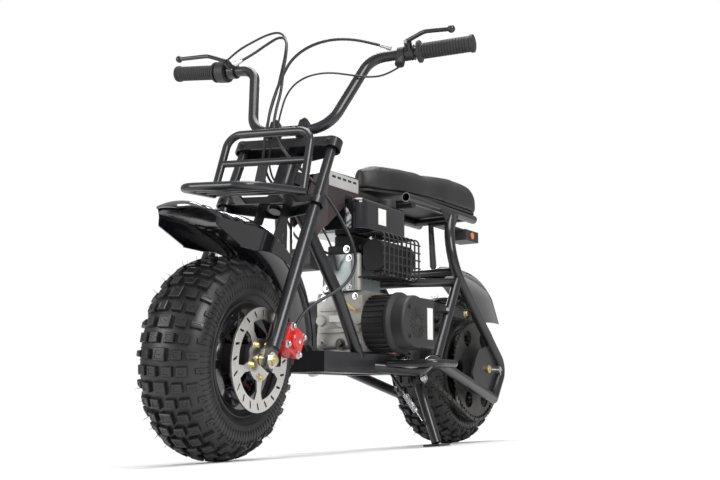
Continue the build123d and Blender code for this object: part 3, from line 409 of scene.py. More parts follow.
def finish(name, colour, rough, metal=0.0, shade=0.12, patch=14.0, grain=900.0, bump=0.15,
           depth=0.0002, coat=0.0, cells=False, gloss=0.08, specular=0.5):
    """A principled shader whose colour, roughness and normal are broken up by noise.
    shade is the share by which the colour varies, gloss the spread of the roughness, patch and
    grain the scales of the broad and the fine noise."""
    material = bpy.data.materials.new(name)
    material.use_nodes = True
    tree = material.node_tree
    link = tree.links.new
    shader = tree.nodes["Principled BSDF"]
    settings(shader, {
        "Metallic": metal, "Coat Weight": coat, "Coat Roughness": COAT_ROUGHNESS,
        "Specular IOR Level": specular,
    })
    place = shader_node(tree, "TexCoord")
    broad = shader_node(tree, "TexNoise", {"Scale": patch, "Detail": 6.0})
    tint = shader_node(tree, "ValToRGB")
    dark, light = tint.color_ramp.elements
    dark.position, light.position = 0.3, 0.7
    dark.color = [c * (1 - shade) for c in colour] + [1]
    light.color = [min(c * (1 + shade), 1) for c in colour] + [1]
    spread = shader_node(tree, "MapRange", {
        "To Min": max(rough - gloss, 0.02), "To Max": min(rough + gloss, 1.0)
    })
    if cells:
        fine = shader_node(tree, "TexVoronoi", {"Scale": grain})
        fine.feature = "SMOOTH_F1"
        height = fine.outputs["Distance"]
    else:
        fine = shader_node(tree, "TexNoise", {"Scale": grain, "Detail": 3.0})
        height = fine.outputs["Fac"]
    relief = shader_node(tree, "Bump", {"Strength": bump, "Distance": depth})
    link(place.outputs["Object"], broad.inputs["Vector"])
    link(broad.outputs["Fac"], tint.inputs["Fac"])
    link(tint.outputs["Color"], shader.inputs["Base Color"])
    link(broad.outputs["Fac"], spread.inputs["Value"])
    link(spread.outputs["Result"], shader.inputs["Roughness"])
    link(place.outputs["Object"], fine.inputs["Vector"])
    link(height, relief.inputs["Height"])
    link(relief.outputs["Normal"], shader.inputs["Normal"])
    return material


POWDER_COAT = finish("powder_coat", (0.018, 0.018, 0.020), 0.3, shade=0.2, coat=0.35,
                     specular=0.35)
GLOSS_PAINT = finish("gloss_paint", (0.008, 0.008, 0.010), 0.12, shade=0.2, coat=0.8, bump=0.03)
BLACK_PLASTIC = finish("black_plastic", (0.022, 0.022, 0.023), 0.5, cells=True, grain=1400.0)
TYRE_RUBBER = finish("tyre_rubber", (0.013, 0.013, 0.014), 0.40, shade=0.35, patch=40.0,
                     grain=700.0, bump=0.3, depth=0.0004, gloss=0.14)
GRIP_RUBBER = finish("grip_rubber", (0.020, 0.020, 0.020), 0.62, grain=1600.0, bump=0.3)
BRUSHED_STEEL = finish("brushed_steel", (0.60, 0.585, 0.56), 0.30, metal=1.0, shade=0.08,
                       patch=60.0, grain=1500.0, bump=0.08)
YELLOW_ZINC = finish("yellow_zinc", (0.62, 0.55, 0.33), 0.34, metal=1.0, shade=0.25, patch=120.0)
BRIGHT_ZINC = finish("bright_zinc", (0.66, 0.66, 0.68), 0.28, metal=1.0, shade=0.12, patch=120.0)
DARK_STEEL = finish("dark_steel", (0.075, 0.073, 0.070), 0.42, metal=0.8, shade=0.3, patch=80.0)
CAST_METAL = finish("cast_metal", (0.40, 0.39, 0.365), 0.46, metal=0.55, shade=0.12, patch=30.0,
                    grain=1100.0, bump=0.5, depth=0.0003)
GALVANISED = finish("galvanised", (0.30, 0.335, 0.33), 0.36, metal=0.7, shade=0.14, patch=70.0,
                    grain=160.0, bump=0.05)
CALIPER_RED = finish("caliper_red", (0.62, 0.018, 0.016), 0.30, shade=0.12, coat=0.4)
# A grey of painted light: it stands for the light from above on the tank cover's upper panel.
PAINTED_LIGHT_GREY = finish("cover_grey", (0.40, 0.39, 0.38), 0.42, shade=0.1, coat=0.2)
COVER_DARK = finish("cover_dark", (0.032, 0.020, 0.021), 0.34, shade=0.2, coat=0.3)
REFLECTOR = finish("orange_reflector", (0.75, 0.16, 0.02), 0.2, coat=0.6)
YELLOW_WIRE = finish("yellow_wire", (0.80, 0.50, 0.03), 0.4)
SEAT_VINYL = finish("seat_vinyl", (0.018, 0.018, 0.019), 0.44, cells=True, grain=620.0,
                    bump=0.5, depth=0.0004, shade=0.2)
MATT_BLACK = finish("matt_black", (0.016, 0.016, 0.017), 0.58, shade=0.25, bump=0.3)
BLANK_LABEL = finish("blank_label", (0.82, 0.82, 0.80), 0.35, shade=0.03, bump=0.02)
SHEATH = finish("cable_sheath", (0.016, 0.016, 0.017), 0.36, grain=1200.0, bump=0.1)
print(len(bpy.data.materials), "finishes")

# %% [markdown]
# ## Steel, plastic and cast pieces
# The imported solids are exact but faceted, with knife edges that no pressed or cast part has. A
# copy of each has its doubles merged and its flat faces joined, and a Bevel modifier rounds what
# is sharper than a fold. Light then runs along the edges, which makes metal look like metal.

# %% Which finish each CAD piece gets, and how round its edges are in millimetres
FOLD = 32.0
FLAT = 0.5
SKINS = (
    (POWDER_COAT, {
        "fork_legs": 0.8, "top_yoke": 1.2, "lower_yoke": 1.2, "handlebar": 0.4,
        "brake_levers": 0.5, "front_rack": 0.4, "guard_bracket": 0.6, "head_tube": 0.6,
        "backbone": 1.5, "down_tubes": 0.4, "cradle": 1.2, "side_hoops": 0.5, "seat_rails": 0.4,
        "frame_braces": 0.4, "footpegs": 0.5, "side_stand": 0.6,
    }),
    (GLOSS_PAINT, {
        "front_rim": 0.5, "rear_rim": 0.5, "front_guard": 0.6, "rear_guard": 0.6,
        "fuel_tank": 1.5,
    }),
    (MATT_BLACK, {
        "front_hub": 0.5, "rear_hub": 0.5, "muffler": 1.0, "muffler_cage": 0.0,
        "clutch_housing": 0.8, "seat_pan": 0.8,
    }),
    (BLACK_PLASTIC, {
        "throttle_housing": 1.5, "kill_switch": 1.2, "fuel_cap": 1.5, "air_cleaner": 1.5,
        "recoil_starter": 2.0, "clutch_cover": 1.5, "chain_guard": 0.8, "tail_box": 1.5,
    }),
    (BRUSHED_STEEL, {"front_disc": 0.3, "rear_disc": 0.3}),
    (YELLOW_ZINC, {"front_axle": 0.6, "rear_axle": 0.6}),
    (CALIPER_RED, {"front_caliper": 1.5, "rear_caliper": 1.5}),
    (DARK_STEEL, {"sprocket": 0.4}),
    (CAST_METAL, {"crankcase": 1.5}),
    (GALVANISED, {"cylinder_shroud": 1.5}),
    (COVER_DARK, {"tank_cover": 1.0}),
)


def skin(name, look, edge):
    """A copy of a CAD node: doubles merged, flat faces joined, and what is sharper than a fold
    rounded."""
    mesh = nodes[name].data.copy()
    form = bmesh.new()
    form.from_mesh(mesh)
    bmesh.ops.remove_doubles(form, verts=form.verts, dist=2 * SAME_POINT)
    bmesh.ops.dissolve_limit(
        form, angle_limit=math.radians(FLAT), verts=form.verts, edges=form.edges
    )
    form.to_mesh(mesh)
    form.free()
    mesh.materials.clear()
    mesh.materials.append(look)
    smooth_up_to(mesh, FOLD)
    piece = linked(name + "_skin", mesh)
    if edge:
        bevel = piece.modifiers.new("rounded_edges", "BEVEL")
        bevel.width = edge * MM
        bevel.segments = 2
        bevel.limit_method = "ANGLE"
        bevel.angle_limit = math.radians(FOLD)
        bevel.harden_normals = True
    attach(piece, body_of[name])
    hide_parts(name)
    return piece


for look, edges in SKINS:
    for name, edge in edges.items():
        skin(name, look, edge)
print(sum(len(edges) for _, edges in SKINS), "CAD pieces dressed")

# %% [markdown]
# ## Laying the cables
# A cable is a wire in a plastic sheath, stiff enough to stand in wide arcs. A curve with a round
# bevel is the simplest way to draw it, and does for the front brake's, which turns whole with the
# bars. A curve can't bend between two bodies, so the other three are mesh tubes round their line.

# %% One cable on the fork, and three from the bars into the frame
def held_by_fork(name, points, diameter):
    """A cable that turns whole with the bars stays a curve with a round bevel."""
    curve = nurbs_curve(name, steered(points))
    path = line_of(curve)
    curve.data.bevel_depth = diameter / 2
    curve.data.use_fill_caps = True
    curve.data.materials.append(SHEATH)
    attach(curve, "fork")
    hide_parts(name.replace("_line", ""))
    return length_of(path)


def across_the_head(name, points, end, diameter):
    """A cable from the bars into the frame: a mesh tube round its line, bending at the head."""
    curve = nurbs_curve(name + "_route", np.concatenate([steered(points), bike(end)]))
    path = line_of(curve)
    bpy.data.objects.remove(curve)
    line = make(name, tube(path, diameter / 2, 10), None, SHEATH)
    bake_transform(line)
    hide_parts(name.replace("_line", ""))
    return length_of(path)


print("front brake cable", round(held_by_fork("front_brake_cable_line", FRONT_BRAKE, 0.006), 3))
for line_name, route, route_end, thickness in (
    ("throttle_cable_line", THROTTLE, THROTTLE_END, 0.005),
    ("rear_brake_cable_line", REAR_BRAKE, REAR_BRAKE_END, 0.006),
    ("kill_wire_line", KILL_WIRE, KILL_WIRE_END, 0.004),
):
    print(line_name, round(across_the_head(line_name, route, route_end, thickness), 3))

# %% [markdown]
# ## Knobby tyres
# The tyre is a plain round carcass with rows of square rubber blocks. Its section is a line of
# (r, y) points with its length measured along it, so a block is drawn flat, as (along, across,
# up), and then laid on the carcass: across picks the place on the section, along becomes an
# angle, and up goes out along the normal. Two kinds of row alternate, their blocks staggered, and
# thin moulding hairs stand on many blocks, as on a new tyre.

# %% The carcass's section and the blocks laid on it
CROWN_R = 110.0
LUG = 8.0
GROOVE_R = WHEEL_R - LUG
HUB_TO_CROWN = WHEEL_R - CROWN_R
TREAD_ANGLE = math.radians(26.0)
WIDEST = (138.0, 65.0)
BEAD = (93.0, 48.5)
BEAD_WAY = (-0.75, -0.66)
BEAD_DEPTH = 12.0
BEAD_INSET = 2.0


def curve_to(start, start_way, end, end_way, count):
    """A smooth run between two points with given ways at its ends, by the four cubic blends."""
    t = np.linspace(0, 1, count)[1:, None]
    start, end = np.array(start), np.array(end)
    span = np.linalg.norm(end - start)
    return (2 * t**3 - 3 * t**2 + 1) * start + (t**3 - 2 * t**2 + t) * span * np.array(start_way) \
        + (3 * t**2 - 2 * t**3) * end + (t**3 - t**2) * span * np.array(end_way)


def carcass_section():
    """Half the section, from the crown's middle to the bead: an arc, a shoulder and a wall."""
    angle = np.linspace(0, TREAD_ANGLE, 14)
    inner = CROWN_R - LUG
    crown = (HUB_TO_CROWN, 0) + inner * on_circle(angle)
    way = (-math.sin(TREAD_ANGLE), math.cos(TREAD_ANGLE))
    shoulder = curve_to(crown[-1], way, WIDEST, (-1.0, 0.0), 12)
    wall = curve_to(WIDEST, (-1.0, 0.0), BEAD, BEAD_WAY, 12)
    return np.concatenate([crown, shoulder, wall])


HALF = carcass_section()
SECTION = np.concatenate([HALF[:0:-1] * (1, -1), HALF])
ALONG = np.concatenate([[0], np.cumsum(np.linalg.norm(np.diff(SECTION, axis=0), axis=1))])
ALONG -= ALONG[len(HALF) - 1]
SLOPE = np.gradient(SECTION, ALONG, axis=0)
print("half the section is", round(float(ALONG[-1]), 1), "mm long")


def on_tyre(along, across, up):
    """Lays flat points on the carcass: section(across) + up x normal, turned by along / r."""
    r = np.interp(across, ALONG, SECTION[:, 0])
    y = np.interp(across, ALONG, SECTION[:, 1])
    dr = np.interp(across, ALONG, SLOPE[:, 0])
    dy = np.interp(across, ALONG, SLOPE[:, 1])
    size = np.hypot(dr, dy)
    reach = r + up * dy / size
    angle = along / GROOVE_R
    return np.stack([reach * np.sin(angle), y - up * dr / size, reach * np.cos(angle)], -1)


def block_rings(length, width, height):
    """One block as square rings, from its sunk foot to its dished top."""
    rings = [(0.0, -1.5), (0.5, height - 1.2), (1.6, height), (4.6, height), (5.2, height - 1.0)]
    corner = np.array([(-1, -1), (1, -1), (1, 1), (-1, 1)])
    return np.stack([
        np.column_stack([
            corner[:, 0] * (length / 2 - inset), corner[:, 1] * (width / 2 - inset),
            np.full(4, up),
        ]) for inset, up in rings
    ])


def repeated(faces, size, count):
    """The faces of one shape of so many points, for each of its copies in a row."""
    starts = (np.arange(count) * size)[:, None, None]
    return [(rows[None] + starts).reshape(-1, rows.shape[1]) for rows in faces]


def many(rings, along, across):
    """The same ringed block at many places on the tyre, as one shape."""
    flat = rings[None] + np.stack([along, across, 0 * along], -1)[:, None, None]
    points = on_tyre(flat[..., 0], flat[..., 1], flat[..., 2])
    one_points, one_faces = capped(rings)
    return points.reshape(-1, 3), repeated(one_faces, len(one_points), len(along))


ROWS = 40
ROUND = 2 * math.pi * GROOVE_R
STEP = ROUND / ROWS


def tread():
    """Two kinds of row by turns: five blocks across, and four between them with low side ones."""
    even = np.arange(0, ROWS, 2) * STEP
    odd = even + STEP
    square = block_rings(18.0, 18.0, LUG)
    long = block_rings(23.0, 22.0, LUG)
    shoulder = block_rings(13.0, 20.0, LUG - 1.5)
    low = block_rings(11.0, 14.0, 3.0)
    rows = (
        (long, even, (0.0,)), (square, even, (30.0, -30.0)), (shoulder, even, (55.0, -55.0)),
        (square, odd, (14.5, -14.5, 39.0, -39.0)), (low, odd, (67.0, -67.0)),
    )
    return joined(*[
        many(rings, along, across + 0 * along) for rings, along, places in rows for across in places
    ])


WALL_RIBS = 96
RIB_ACROSS = 82.0
RIB_THIN = 0.18
WALL_RINGS = ((103.0, 1.6), (121.0, 2.4))


def shoulder_ribs():
    """Thin ribs from the shoulder blocks down the wall, and two raised rings by the bead."""
    along = np.linspace(0, ROUND, WALL_RIBS, endpoint=False)
    rib = block_rings(12.0, 26.0, 1.6)
    rib[..., 0] *= RIB_THIN
    shapes = [many(rib, along, side * RIB_ACROSS + 0 * along) for side in (1, -1)]
    for side in (1, -1):
        for across, rise in WALL_RINGS:
            section = ((-3.0, -0.5), (-1.2, rise), (1.2, rise), (3.0, -0.5))
            ring = np.stack([
                on_tyre(along, side * (across + w) + 0 * along, h + 0 * along) for w, h in section
            ])
            shapes.append(grid(ring, wrap_u=True, wrap_v=True))
    return joined(*shapes)


def carcass():
    """The whole section spun, and closed between its beads under the rim's lip."""
    bead = HALF[-1]
    low, half_width = bead[0] - BEAD_DEPTH, bead[1] - BEAD_INSET
    inside = [(low, half_width), (low, -half_width)]
    return spun(np.concatenate([SECTION, inside]), sides=128)


HAIR_PLACES = [-42.0, -20.0, 0.0, 20.0, 42.0]
HAIR_HEIGHT = (6.0, 12.0)
HAIR_LEVELS = ((0.0, 1.0), (0.5, 0.8), (1.0, 0.35))
HAIRY_SHARE = 0.75
FOOTPRINT = 0.45


def hairs(seed):
    """Moulding hairs: thin bent cones on many of the blocks, none where the tyre stands. A level
    is a share of the height and the width there."""
    draw = np.random.default_rng(seed)
    rows = np.repeat(np.arange(ROWS), len(HAIR_PLACES))
    across = np.tile(HAIR_PLACES, ROWS) + draw.uniform(-5, 5, len(rows))
    along = rows * STEP + draw.uniform(-4, 4, len(rows))
    off_floor = np.abs(along / GROOVE_R - math.pi) > FOOTPRINT
    kept = (draw.random(len(rows)) < HAIRY_SHARE) & off_floor
    along, across = along[kept], across[kept]
    count = len(along)
    height = draw.uniform(*HAIR_HEIGHT, count)
    bend = draw.uniform(-2.5, 2.5, (count, 2))
    corner = np.array([(0.0, 0.55), (-0.48, -0.28), (0.48, -0.28)])
    levels = []
    for share, width in HAIR_LEVELS:
        levels.append(on_tyre(
            along[:, None] + corner[:, 0] * width + bend[:, :1] * share**2,
            across[:, None] + corner[:, 1] * width + bend[:, 1:] * share**2,
            (LUG - 1.0 + (height + 1.0) * share)[:, None] + 0 * corner[:, 0],
        ))
    points = np.stack(levels, 1)
    one_points, one_faces = capped(points[0])
    return points.reshape(-1, 3), repeated(one_faces, len(one_points), count)


def make_tyre(name, body, place, seed):
    whole = joined(carcass(), tread(), shoulder_ribs(), hairs(seed))
    tyre = make(name + "_knobby", placed(whole, place), body, TYRE_RUBBER)
    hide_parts(name)
    return len(tyre.data.polygons)


print("front tyre faces", make_tyre("front_tyre", "front_wheel", front, 3))
print("rear tyre faces", make_tyre("rear_tyre", "rear_wheel", rear, 4))

# %% [markdown]
# ## Chain, grips and spring
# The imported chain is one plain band. A real one is pins at an even pitch, each pair joined by two
# side plates, inner and outer by turns. The pins lie on the tight line round the two wheels: an
# arc, a tangent, an arc, a tangent. The stand's spring is a helix and a hooked wire.

# %% Parts turned about any line, and hexagon bolts
ON, OUT, UP = (1, 0, 0), (0, 1, 0), (0, 0, 1)


def turned_on(at, way, profile, sides):
    """Rings of (r, h) about a line: at + h k + r (a cos v + b sin v), with a and b square to k."""
    way = unit(way)
    a = unit(np.cross(UP if abs(way[2]) < 0.9 else ON, way))
    b = np.cross(way, a)
    angle = np.linspace(0, 2 * math.pi, sides, endpoint=False)[None, :, None]
    profile = np.asarray(profile, float)
    r, h = profile[:, 0, None, None], profile[:, 1, None, None]
    return capped(np.asarray(at, float) + h * way + r * (a * np.cos(angle) + b * np.sin(angle)))


def bolt(at, way, flats, tall, washer):
    """A washer and a hexagon head with its top corners turned off."""
    way = unit(way)
    washer_r = 0.95 * flats
    ring = turned_on(at, way, [(washer_r, -0.2), (washer_r, washer)], 20)
    r = flats / math.sqrt(3)
    head = [(r, 0.0), (r, tall - 0.9), (0.86 * r, tall)]
    return joined(ring, turned_on(np.asarray(at, float) + washer * way, way, head, 6))


def block(low, high, edge=0.8):
    """A box between two corners with its level rims eased."""
    (x0, y0, z0), (x1, y1, z1) = low, high
    return plate([(x0, y0), (x1, y0), (x1, y1), (x0, y1)], z0, z1, edge)


def side_plate(outline, low, high, edge):
    """A plate drawn in the side view, as (x, z), between two values of y."""
    points, faces = plate(outline, low, high, edge)
    return points[:, [0, 2, 1]], faces


def turned_flat(outline, angle, centre):
    """Flat points turned about the origin and then moved to a centre."""
    c, s = math.cos(angle), math.sin(angle)
    return np.asarray(outline, float) @ np.array([[c, s], [-s, c]]) + centre


def two_sided(shape):
    """A shape and its mirror image across the bike."""
    return joined(shape, (shape[0] * (1, -1, 1), shape[1]))


# %% The drive chain's links
CRANK = np.array([432.0, 272.0])
CHAIN_Y = 84.0
PITCH = 12.7
BIG = (np.array([0.0, WHEEL_R]), 124.4)
SMALL = (CRANK, 25.4)
LINK_END_R = 4.8
LINK_WAIST = 3.5
INNER_PLATES = (2.7, 4.0)
OUTER_PLATES = (4.2, 5.5)
ROLLER = [(4.1, -2.6), (4.1, 2.6)]
PIN = [(1.6, -5.9), (1.9, -5.6), (1.9, 5.6), (1.6, 5.9)]


def chain_loop():
    """Points along the tight loop in (x, z), finely spaced."""
    span = SMALL[0] - BIG[0]
    toward = math.atan2(span[1], span[0])
    wrap = math.acos((BIG[1] - SMALL[1]) / float(np.linalg.norm(span)))
    round_big = np.linspace(toward + wrap, toward - wrap + 2 * math.pi, 400)
    round_small = np.linspace(toward - wrap, toward + wrap, 120)
    big = BIG[0] + BIG[1] * on_circle(round_big)
    return np.concatenate([big, SMALL[0] + SMALL[1] * on_circle(round_small), big[:1]])


def chain_links():
    """Two waisted side plates a link, inner and outer by turns, and a roller on each pin."""
    loop = chain_loop()
    along = np.concatenate([[0], np.cumsum(np.linalg.norm(np.diff(loop, axis=0), axis=1))])
    count = 2 * round(along[-1] / PITCH / 2)
    at = np.linspace(0, along[-1], count, endpoint=False)
    pins = np.column_stack([np.interp(at, along, loop[:, k]) for k in (0, 1)])
    front_end = LINK_END_R * on_circle(np.radians(np.linspace(-72, 72, 6)))
    shapes = []
    for k, (here, there) in enumerate(zip(pins, np.roll(pins, -1, 0))):
        way = there - here
        length = float(np.linalg.norm(way))
        middle = length / 2
        outline = np.concatenate([
            front_end + (length, 0), [(middle, LINK_WAIST)], -front_end, [(middle, -LINK_WAIST)]
        ])
        flat = turned_flat(outline, math.atan2(way[1], way[0]), here)
        low, high = (INNER_PLATES, OUTER_PLATES)[k % 2]
        for side in (1, -1):
            shapes.append(side_plate(flat, CHAIN_Y + side * low, CHAIN_Y + side * high, 0.15))
        at_pin = (here[0], CHAIN_Y, here[1])
        shapes.append(turned_on(at_pin, OUT, ROLLER, 12))
        shapes.append(turned_on(at_pin, OUT, PIN, 8))
    return joined(*shapes)


chain = make("chain_links", placed(chain_links(), bike), "frame", DARK_STEEL)
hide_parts("drive_chain")
print("chain faces", len(chain.data.polygons))

# %% Grips with moulded rings
BAR_END = np.array([4.0, 358.0, 712.0])
BAR_BEND = np.array([12.0, 141.0, 690.0])


def grip_profile():
    """A domed end, rings every 6 mm, and a thumb flange."""
    profile = [(0.5, -4.6), (15.0, -4.4), (18.2, -3.0), (18.4, 3.0), (16.4, 4.4)]
    for start in np.arange(8.0, 100.0, 6.0):
        profile += [(16.5, start), (16.5, start + 3.6), (15.4, start + 4.4), (15.4, start + 5.4)]
    return profile + [(16.4, 105.0), (22.8, 108.2), (23.4, 110.0), (22.8, 113.4), (11.4, 114.0)]


both_grips = two_sided(turned_on(BAR_END, BAR_BEND - BAR_END, grip_profile(), 32))
grips = make("ringed_grips", placed(both_grips, fork), "fork", GRIP_RUBBER)
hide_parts("grips")
print("grip faces", len(grips.data.polygons))

# %% The side stand's spring
SPRING_TOP = np.array([388.0, 98.0, 130.0])
SPRING_LOW = np.array([368.0, 138.0, 62.0])
TURNS = 12
COIL_R = 5.6
WIRE_R = 1.15


def spring_path():
    """A hook, twelve turns of helix 46 mm long, and a straight wire to a lower hook."""
    way = SPRING_LOW - SPRING_TOP
    length = float(np.linalg.norm(way))
    way = way / length
    a = unit(np.cross(way, UP))
    b = np.cross(way, a)
    share = np.linspace(0, 1, TURNS * 16 + 1)[:, None]
    angle = 2 * math.pi * TURNS * share
    r = COIL_R * np.clip(np.minimum(share, 1 - share) * 30, 0.15, 1)
    middle = SPRING_TOP + way * (10 + 46 * share)
    coil = middle + r * (a * np.cos(angle) + b * np.sin(angle))
    top = [SPRING_TOP + way * 3.2, SPRING_TOP + way * 7]
    low = [SPRING_TOP + way * (length - 12), SPRING_TOP + way * (length - 3.2)]
    return np.concatenate([top, coil, low])


def spring_wire():
    """A round wire carried along the spring's path, its ring turned step by step with it."""
    path = spring_path()
    along = unit(np.gradient(path, axis=0))
    side = np.zeros_like(path)
    side[0] = np.cross(along[0], ON)
    for k in range(1, len(path)):
        side[k] = side[k - 1] - (side[k - 1] @ along[k]) * along[k]
    return ringed(path, along, unit(side), WIRE_R, 8)


spring = make("stand_spring_coil", placed(spring_wire(), bike), None, BRIGHT_ZINC)
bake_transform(spring)
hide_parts("stand_spring")
print("spring faces", len(spring.data.polygons))

# %% [markdown]
# ## The seat
# A foam bench under vinyl. Its form is lofted from the width and height along the bike, then
# remeshed and swelled by a short cloth simulation with pressure inside, as foam does under a
# stretched cover. No point moves more than the cap, and the base stays flat on its pan.

# %% Loft, swell and dress
SEAT_BASE = 587.0
SEAT_X = [-28, -24, -16, -4, 8, 60, 150, 250, 304, 350, 386, 400, 407, 411]
SEAT_HALF = [68, 80, 88, 92, 93, 93, 91, 80, 67, 49, 30, 20, 13, 5]
SEAT_TOP_X = [-30, -12, 8, 30, 96, 150, 210, 300, 374, 414]
SEAT_TOP = [28, 58, 71, 73, 73, 67, 60, 58, 54, 40]
SIDE_POWER = 0.62
TOP_POWER = 0.42
VOXEL = 0.006
SWELL_CAP = 0.004
SWELL_STEPS = 16


def seat_loft():
    """Cross-sections of a flat base and a round-shouldered top: y = w cos(v)^0.62 and
    z = h sin(v)^0.42, with closer sections towards both ends."""
    spans = ((-28, 8, 10), (16, 380, 44), (386, 411, 9))
    x = np.concatenate([np.linspace(*span) for span in spans])
    half = np.interp(x, SEAT_X, SEAT_HALF)[:, None]
    high = np.interp(x, SEAT_TOP_X, SEAT_TOP)[:, None]
    v = np.linspace(0, math.pi, 33)[None]
    y = half * np.sign(np.cos(v)) * np.abs(np.cos(v)) ** SIDE_POWER
    z = SEAT_BASE + high * np.sin(v) ** TOP_POWER
    low = np.linspace(-1, 1, 12)[None, 1:-1] * half
    y = np.concatenate([y, low], 1)
    z = np.concatenate([z, SEAT_BASE + 0 * low], 1)
    return capped(np.stack([x[:, None] + 0 * y, y, z], -1) * MM)


def swelled(piece, voxel, cap, steps):
    """Remeshes a closed form, runs cloth with pressure and no gravity, and limits each move."""
    remesh = piece.modifiers.new("remesh", "REMESH")
    remesh.mode = "VOXEL"
    remesh.voxel_size = voxel
    view = bpy.context.evaluated_depsgraph_get()
    piece.data = bpy.data.meshes.new_from_object(piece.evaluated_get(view))
    piece.modifiers.remove(remesh)
    rest = points_of(piece.data)
    cloth = piece.modifiers.new("cloth", "CLOTH")
    cloth.settings.use_pressure = True
    cloth.settings.uniform_pressure_force = 4.0
    cloth.settings.effector_weights.gravity = 0.0
    cloth.point_cache.frame_end = steps
    for step in range(1, steps + 1):
        bpy.context.scene.frame_set(step)
    view = bpy.context.evaluated_depsgraph_get()
    done = bpy.data.meshes.new_from_object(piece.evaluated_get(view))
    piece.modifiers.remove(cloth)
    bpy.context.scene.frame_set(1)
    move = points_of(done) - rest
    size = np.linalg.norm(move, axis=1, keepdims=True)
    rest += move * np.minimum(1, cap / np.maximum(size, 1e-9))
    return rest


seat = make("vinyl_seat", seat_loft(), "frame", SEAT_VINYL, smooth=180.0)
swell = swelled(seat, VOXEL, SWELL_CAP, SWELL_STEPS)
swell[:, 2] = np.maximum(swell[:, 2], SEAT_BASE * MM)
seat.data.vertices.foreach_set("co", bike(swell / MM).ravel())
seat.data.polygons.foreach_set("use_smooth", np.ones(len(seat.data.polygons), bool))
seat.data.update()
smoother = seat.modifiers.new("smoother", "SUBSURF")
smoother.levels = 1
smoother.render_levels = 1
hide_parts("seat")
print("seat faces", len(seat.data.polygons))

# %% [markdown]
# ## Bolts, labels and small parts
# Small parts are gathered by body and finish, so that each group is one piece. Plates that carry
# print on such a bike are left blank.

# %% Gather, place and make
GROUPS = {}


def gather(shape, place, body, look, slot=None):
    """Files a shape, placed, under its body, its finish and the record's material slot."""
    GROUPS.setdefault((body, look.name, slot), []).append(placed(shape, place))


def on_frame(shape, look, slot=None):
    gather(shape, bike, "frame", look, slot)


def both(at):
    """A point and its mirror image across the bike."""
    x, y, z = at
    return [(x, y, z), (x, -y, z)]


CALIPER = np.array([-51.0, 112.0, 65.0])
CALIPER_BOLTS = [tuple(CALIPER + (n, 0, s)) for n in (-23, 23) for s in (-18, 18)]
DISC_FACE = 85.75
DISC_BOLT_R = 31
PIN_WAY = (0, 0.9322, 0.3619)
STAND_PIN = (341, 110 + 14 * PIN_WAY[1], 152 + 14 * PIN_WAY[2])
CASE_FRONT = 486
CASE_BOLTS = [(CASE_FRONT, y, z) for y, z in (
    (-42, 330), (40, 330), (-42, 232), (44, 232), (-36, 350), (24, 350), (-36, 414), (24, 414),
)]
FOOT_BOLTS = [(x, y, z) for y in (50, -50) for x, z in ((360, 221), (484, 211))]
CLUTCH_BOLT = 44 * math.sqrt(0.5)
CLUTCH_BOLTS = [(CRANK[0] + CLUTCH_BOLT, 162, CRANK[1] + s * CLUTCH_BOLT) for s in (1, -1)]
DISC_BOLTS = [
    (DISC_BOLT_R * math.cos(angle), DISC_FACE, -DISC_BOLT_R * math.sin(angle))
    for angle in np.radians(18 + 72 * np.arange(5))
]

# what it is, finish, way it points, places, width over its flats, height of its head, washer
FORK_BOLTS = (
    ("stem nut", BRIGHT_ZINC, UP, [(-23.5, 0, 487)], 30, 9, 2),
    ("leg caps", DARK_STEEL, UP, both((0, 103, 484)), 15, 5, 1.5),
    ("bar clamp", DARK_STEEL, UP, both((2.5, 34, 528)) + both((21.5, 34, 528)), 7, 5, 0.8),
    ("yoke pinch", DARK_STEEL, ON, both((19, 103, 476)) + both((19, 103, 338)), 8, 5, 1),
    ("guard strap", BRIGHT_ZINC, UP, both((32, 58, 334)), 8, 5, 1.2),
    ("caliper", BRIGHT_ZINC, OUT, CALIPER_BOLTS, 8, 6, 1.2),
)
FRAME_BOLTS = (
    ("stand pin", BRIGHT_ZINC, PIN_WAY, [STAND_PIN], 13, 7, 2),
    ("chain guard tab", BRIGHT_ZINC, UP, [(224, 122, 313)], 10, 6, 1.4),
    ("chain guard end", YELLOW_ZINC, OUT, [(84, 100, 318)], 11, 6, 1.4),
    ("wheel adjusters", BRIGHT_ZINC, (-1, 0, 0), both((-60, 121, WHEEL_R)), 9, 6, 1),
    ("engine case", BRIGHT_ZINC, ON, CASE_BOLTS, 8, 5, 1.4),
    ("oil plug", DARK_STEEL, ON, [(CASE_FRONT, 2, 228)], 13, 8, 2),
    ("engine feet", BRIGHT_ZINC, UP, FOOT_BOLTS, 9, 5, 1.4),
    ("clutch cover", DARK_STEEL, OUT, CLUTCH_BOLTS, 6, 4, 0.8),
    ("cylinder head", BRIGHT_ZINC, ON, [(474, 10, 436)], 9, 6, 1.4),
)
DISC_ROW = (("disc", YELLOW_ZINC, OUT, DISC_BOLTS, 8, 5, 1),)
for body, place, rows in (
    ("fork", fork, FORK_BOLTS), ("front_wheel", front, DISC_ROW), ("frame", bike, FRAME_BOLTS),
):
    for _, look, way, places, flats, tall, washer in rows:
        for at in places:
            gather(bolt(at, way, flats, tall, washer), place, body, look, "zinc_plate")

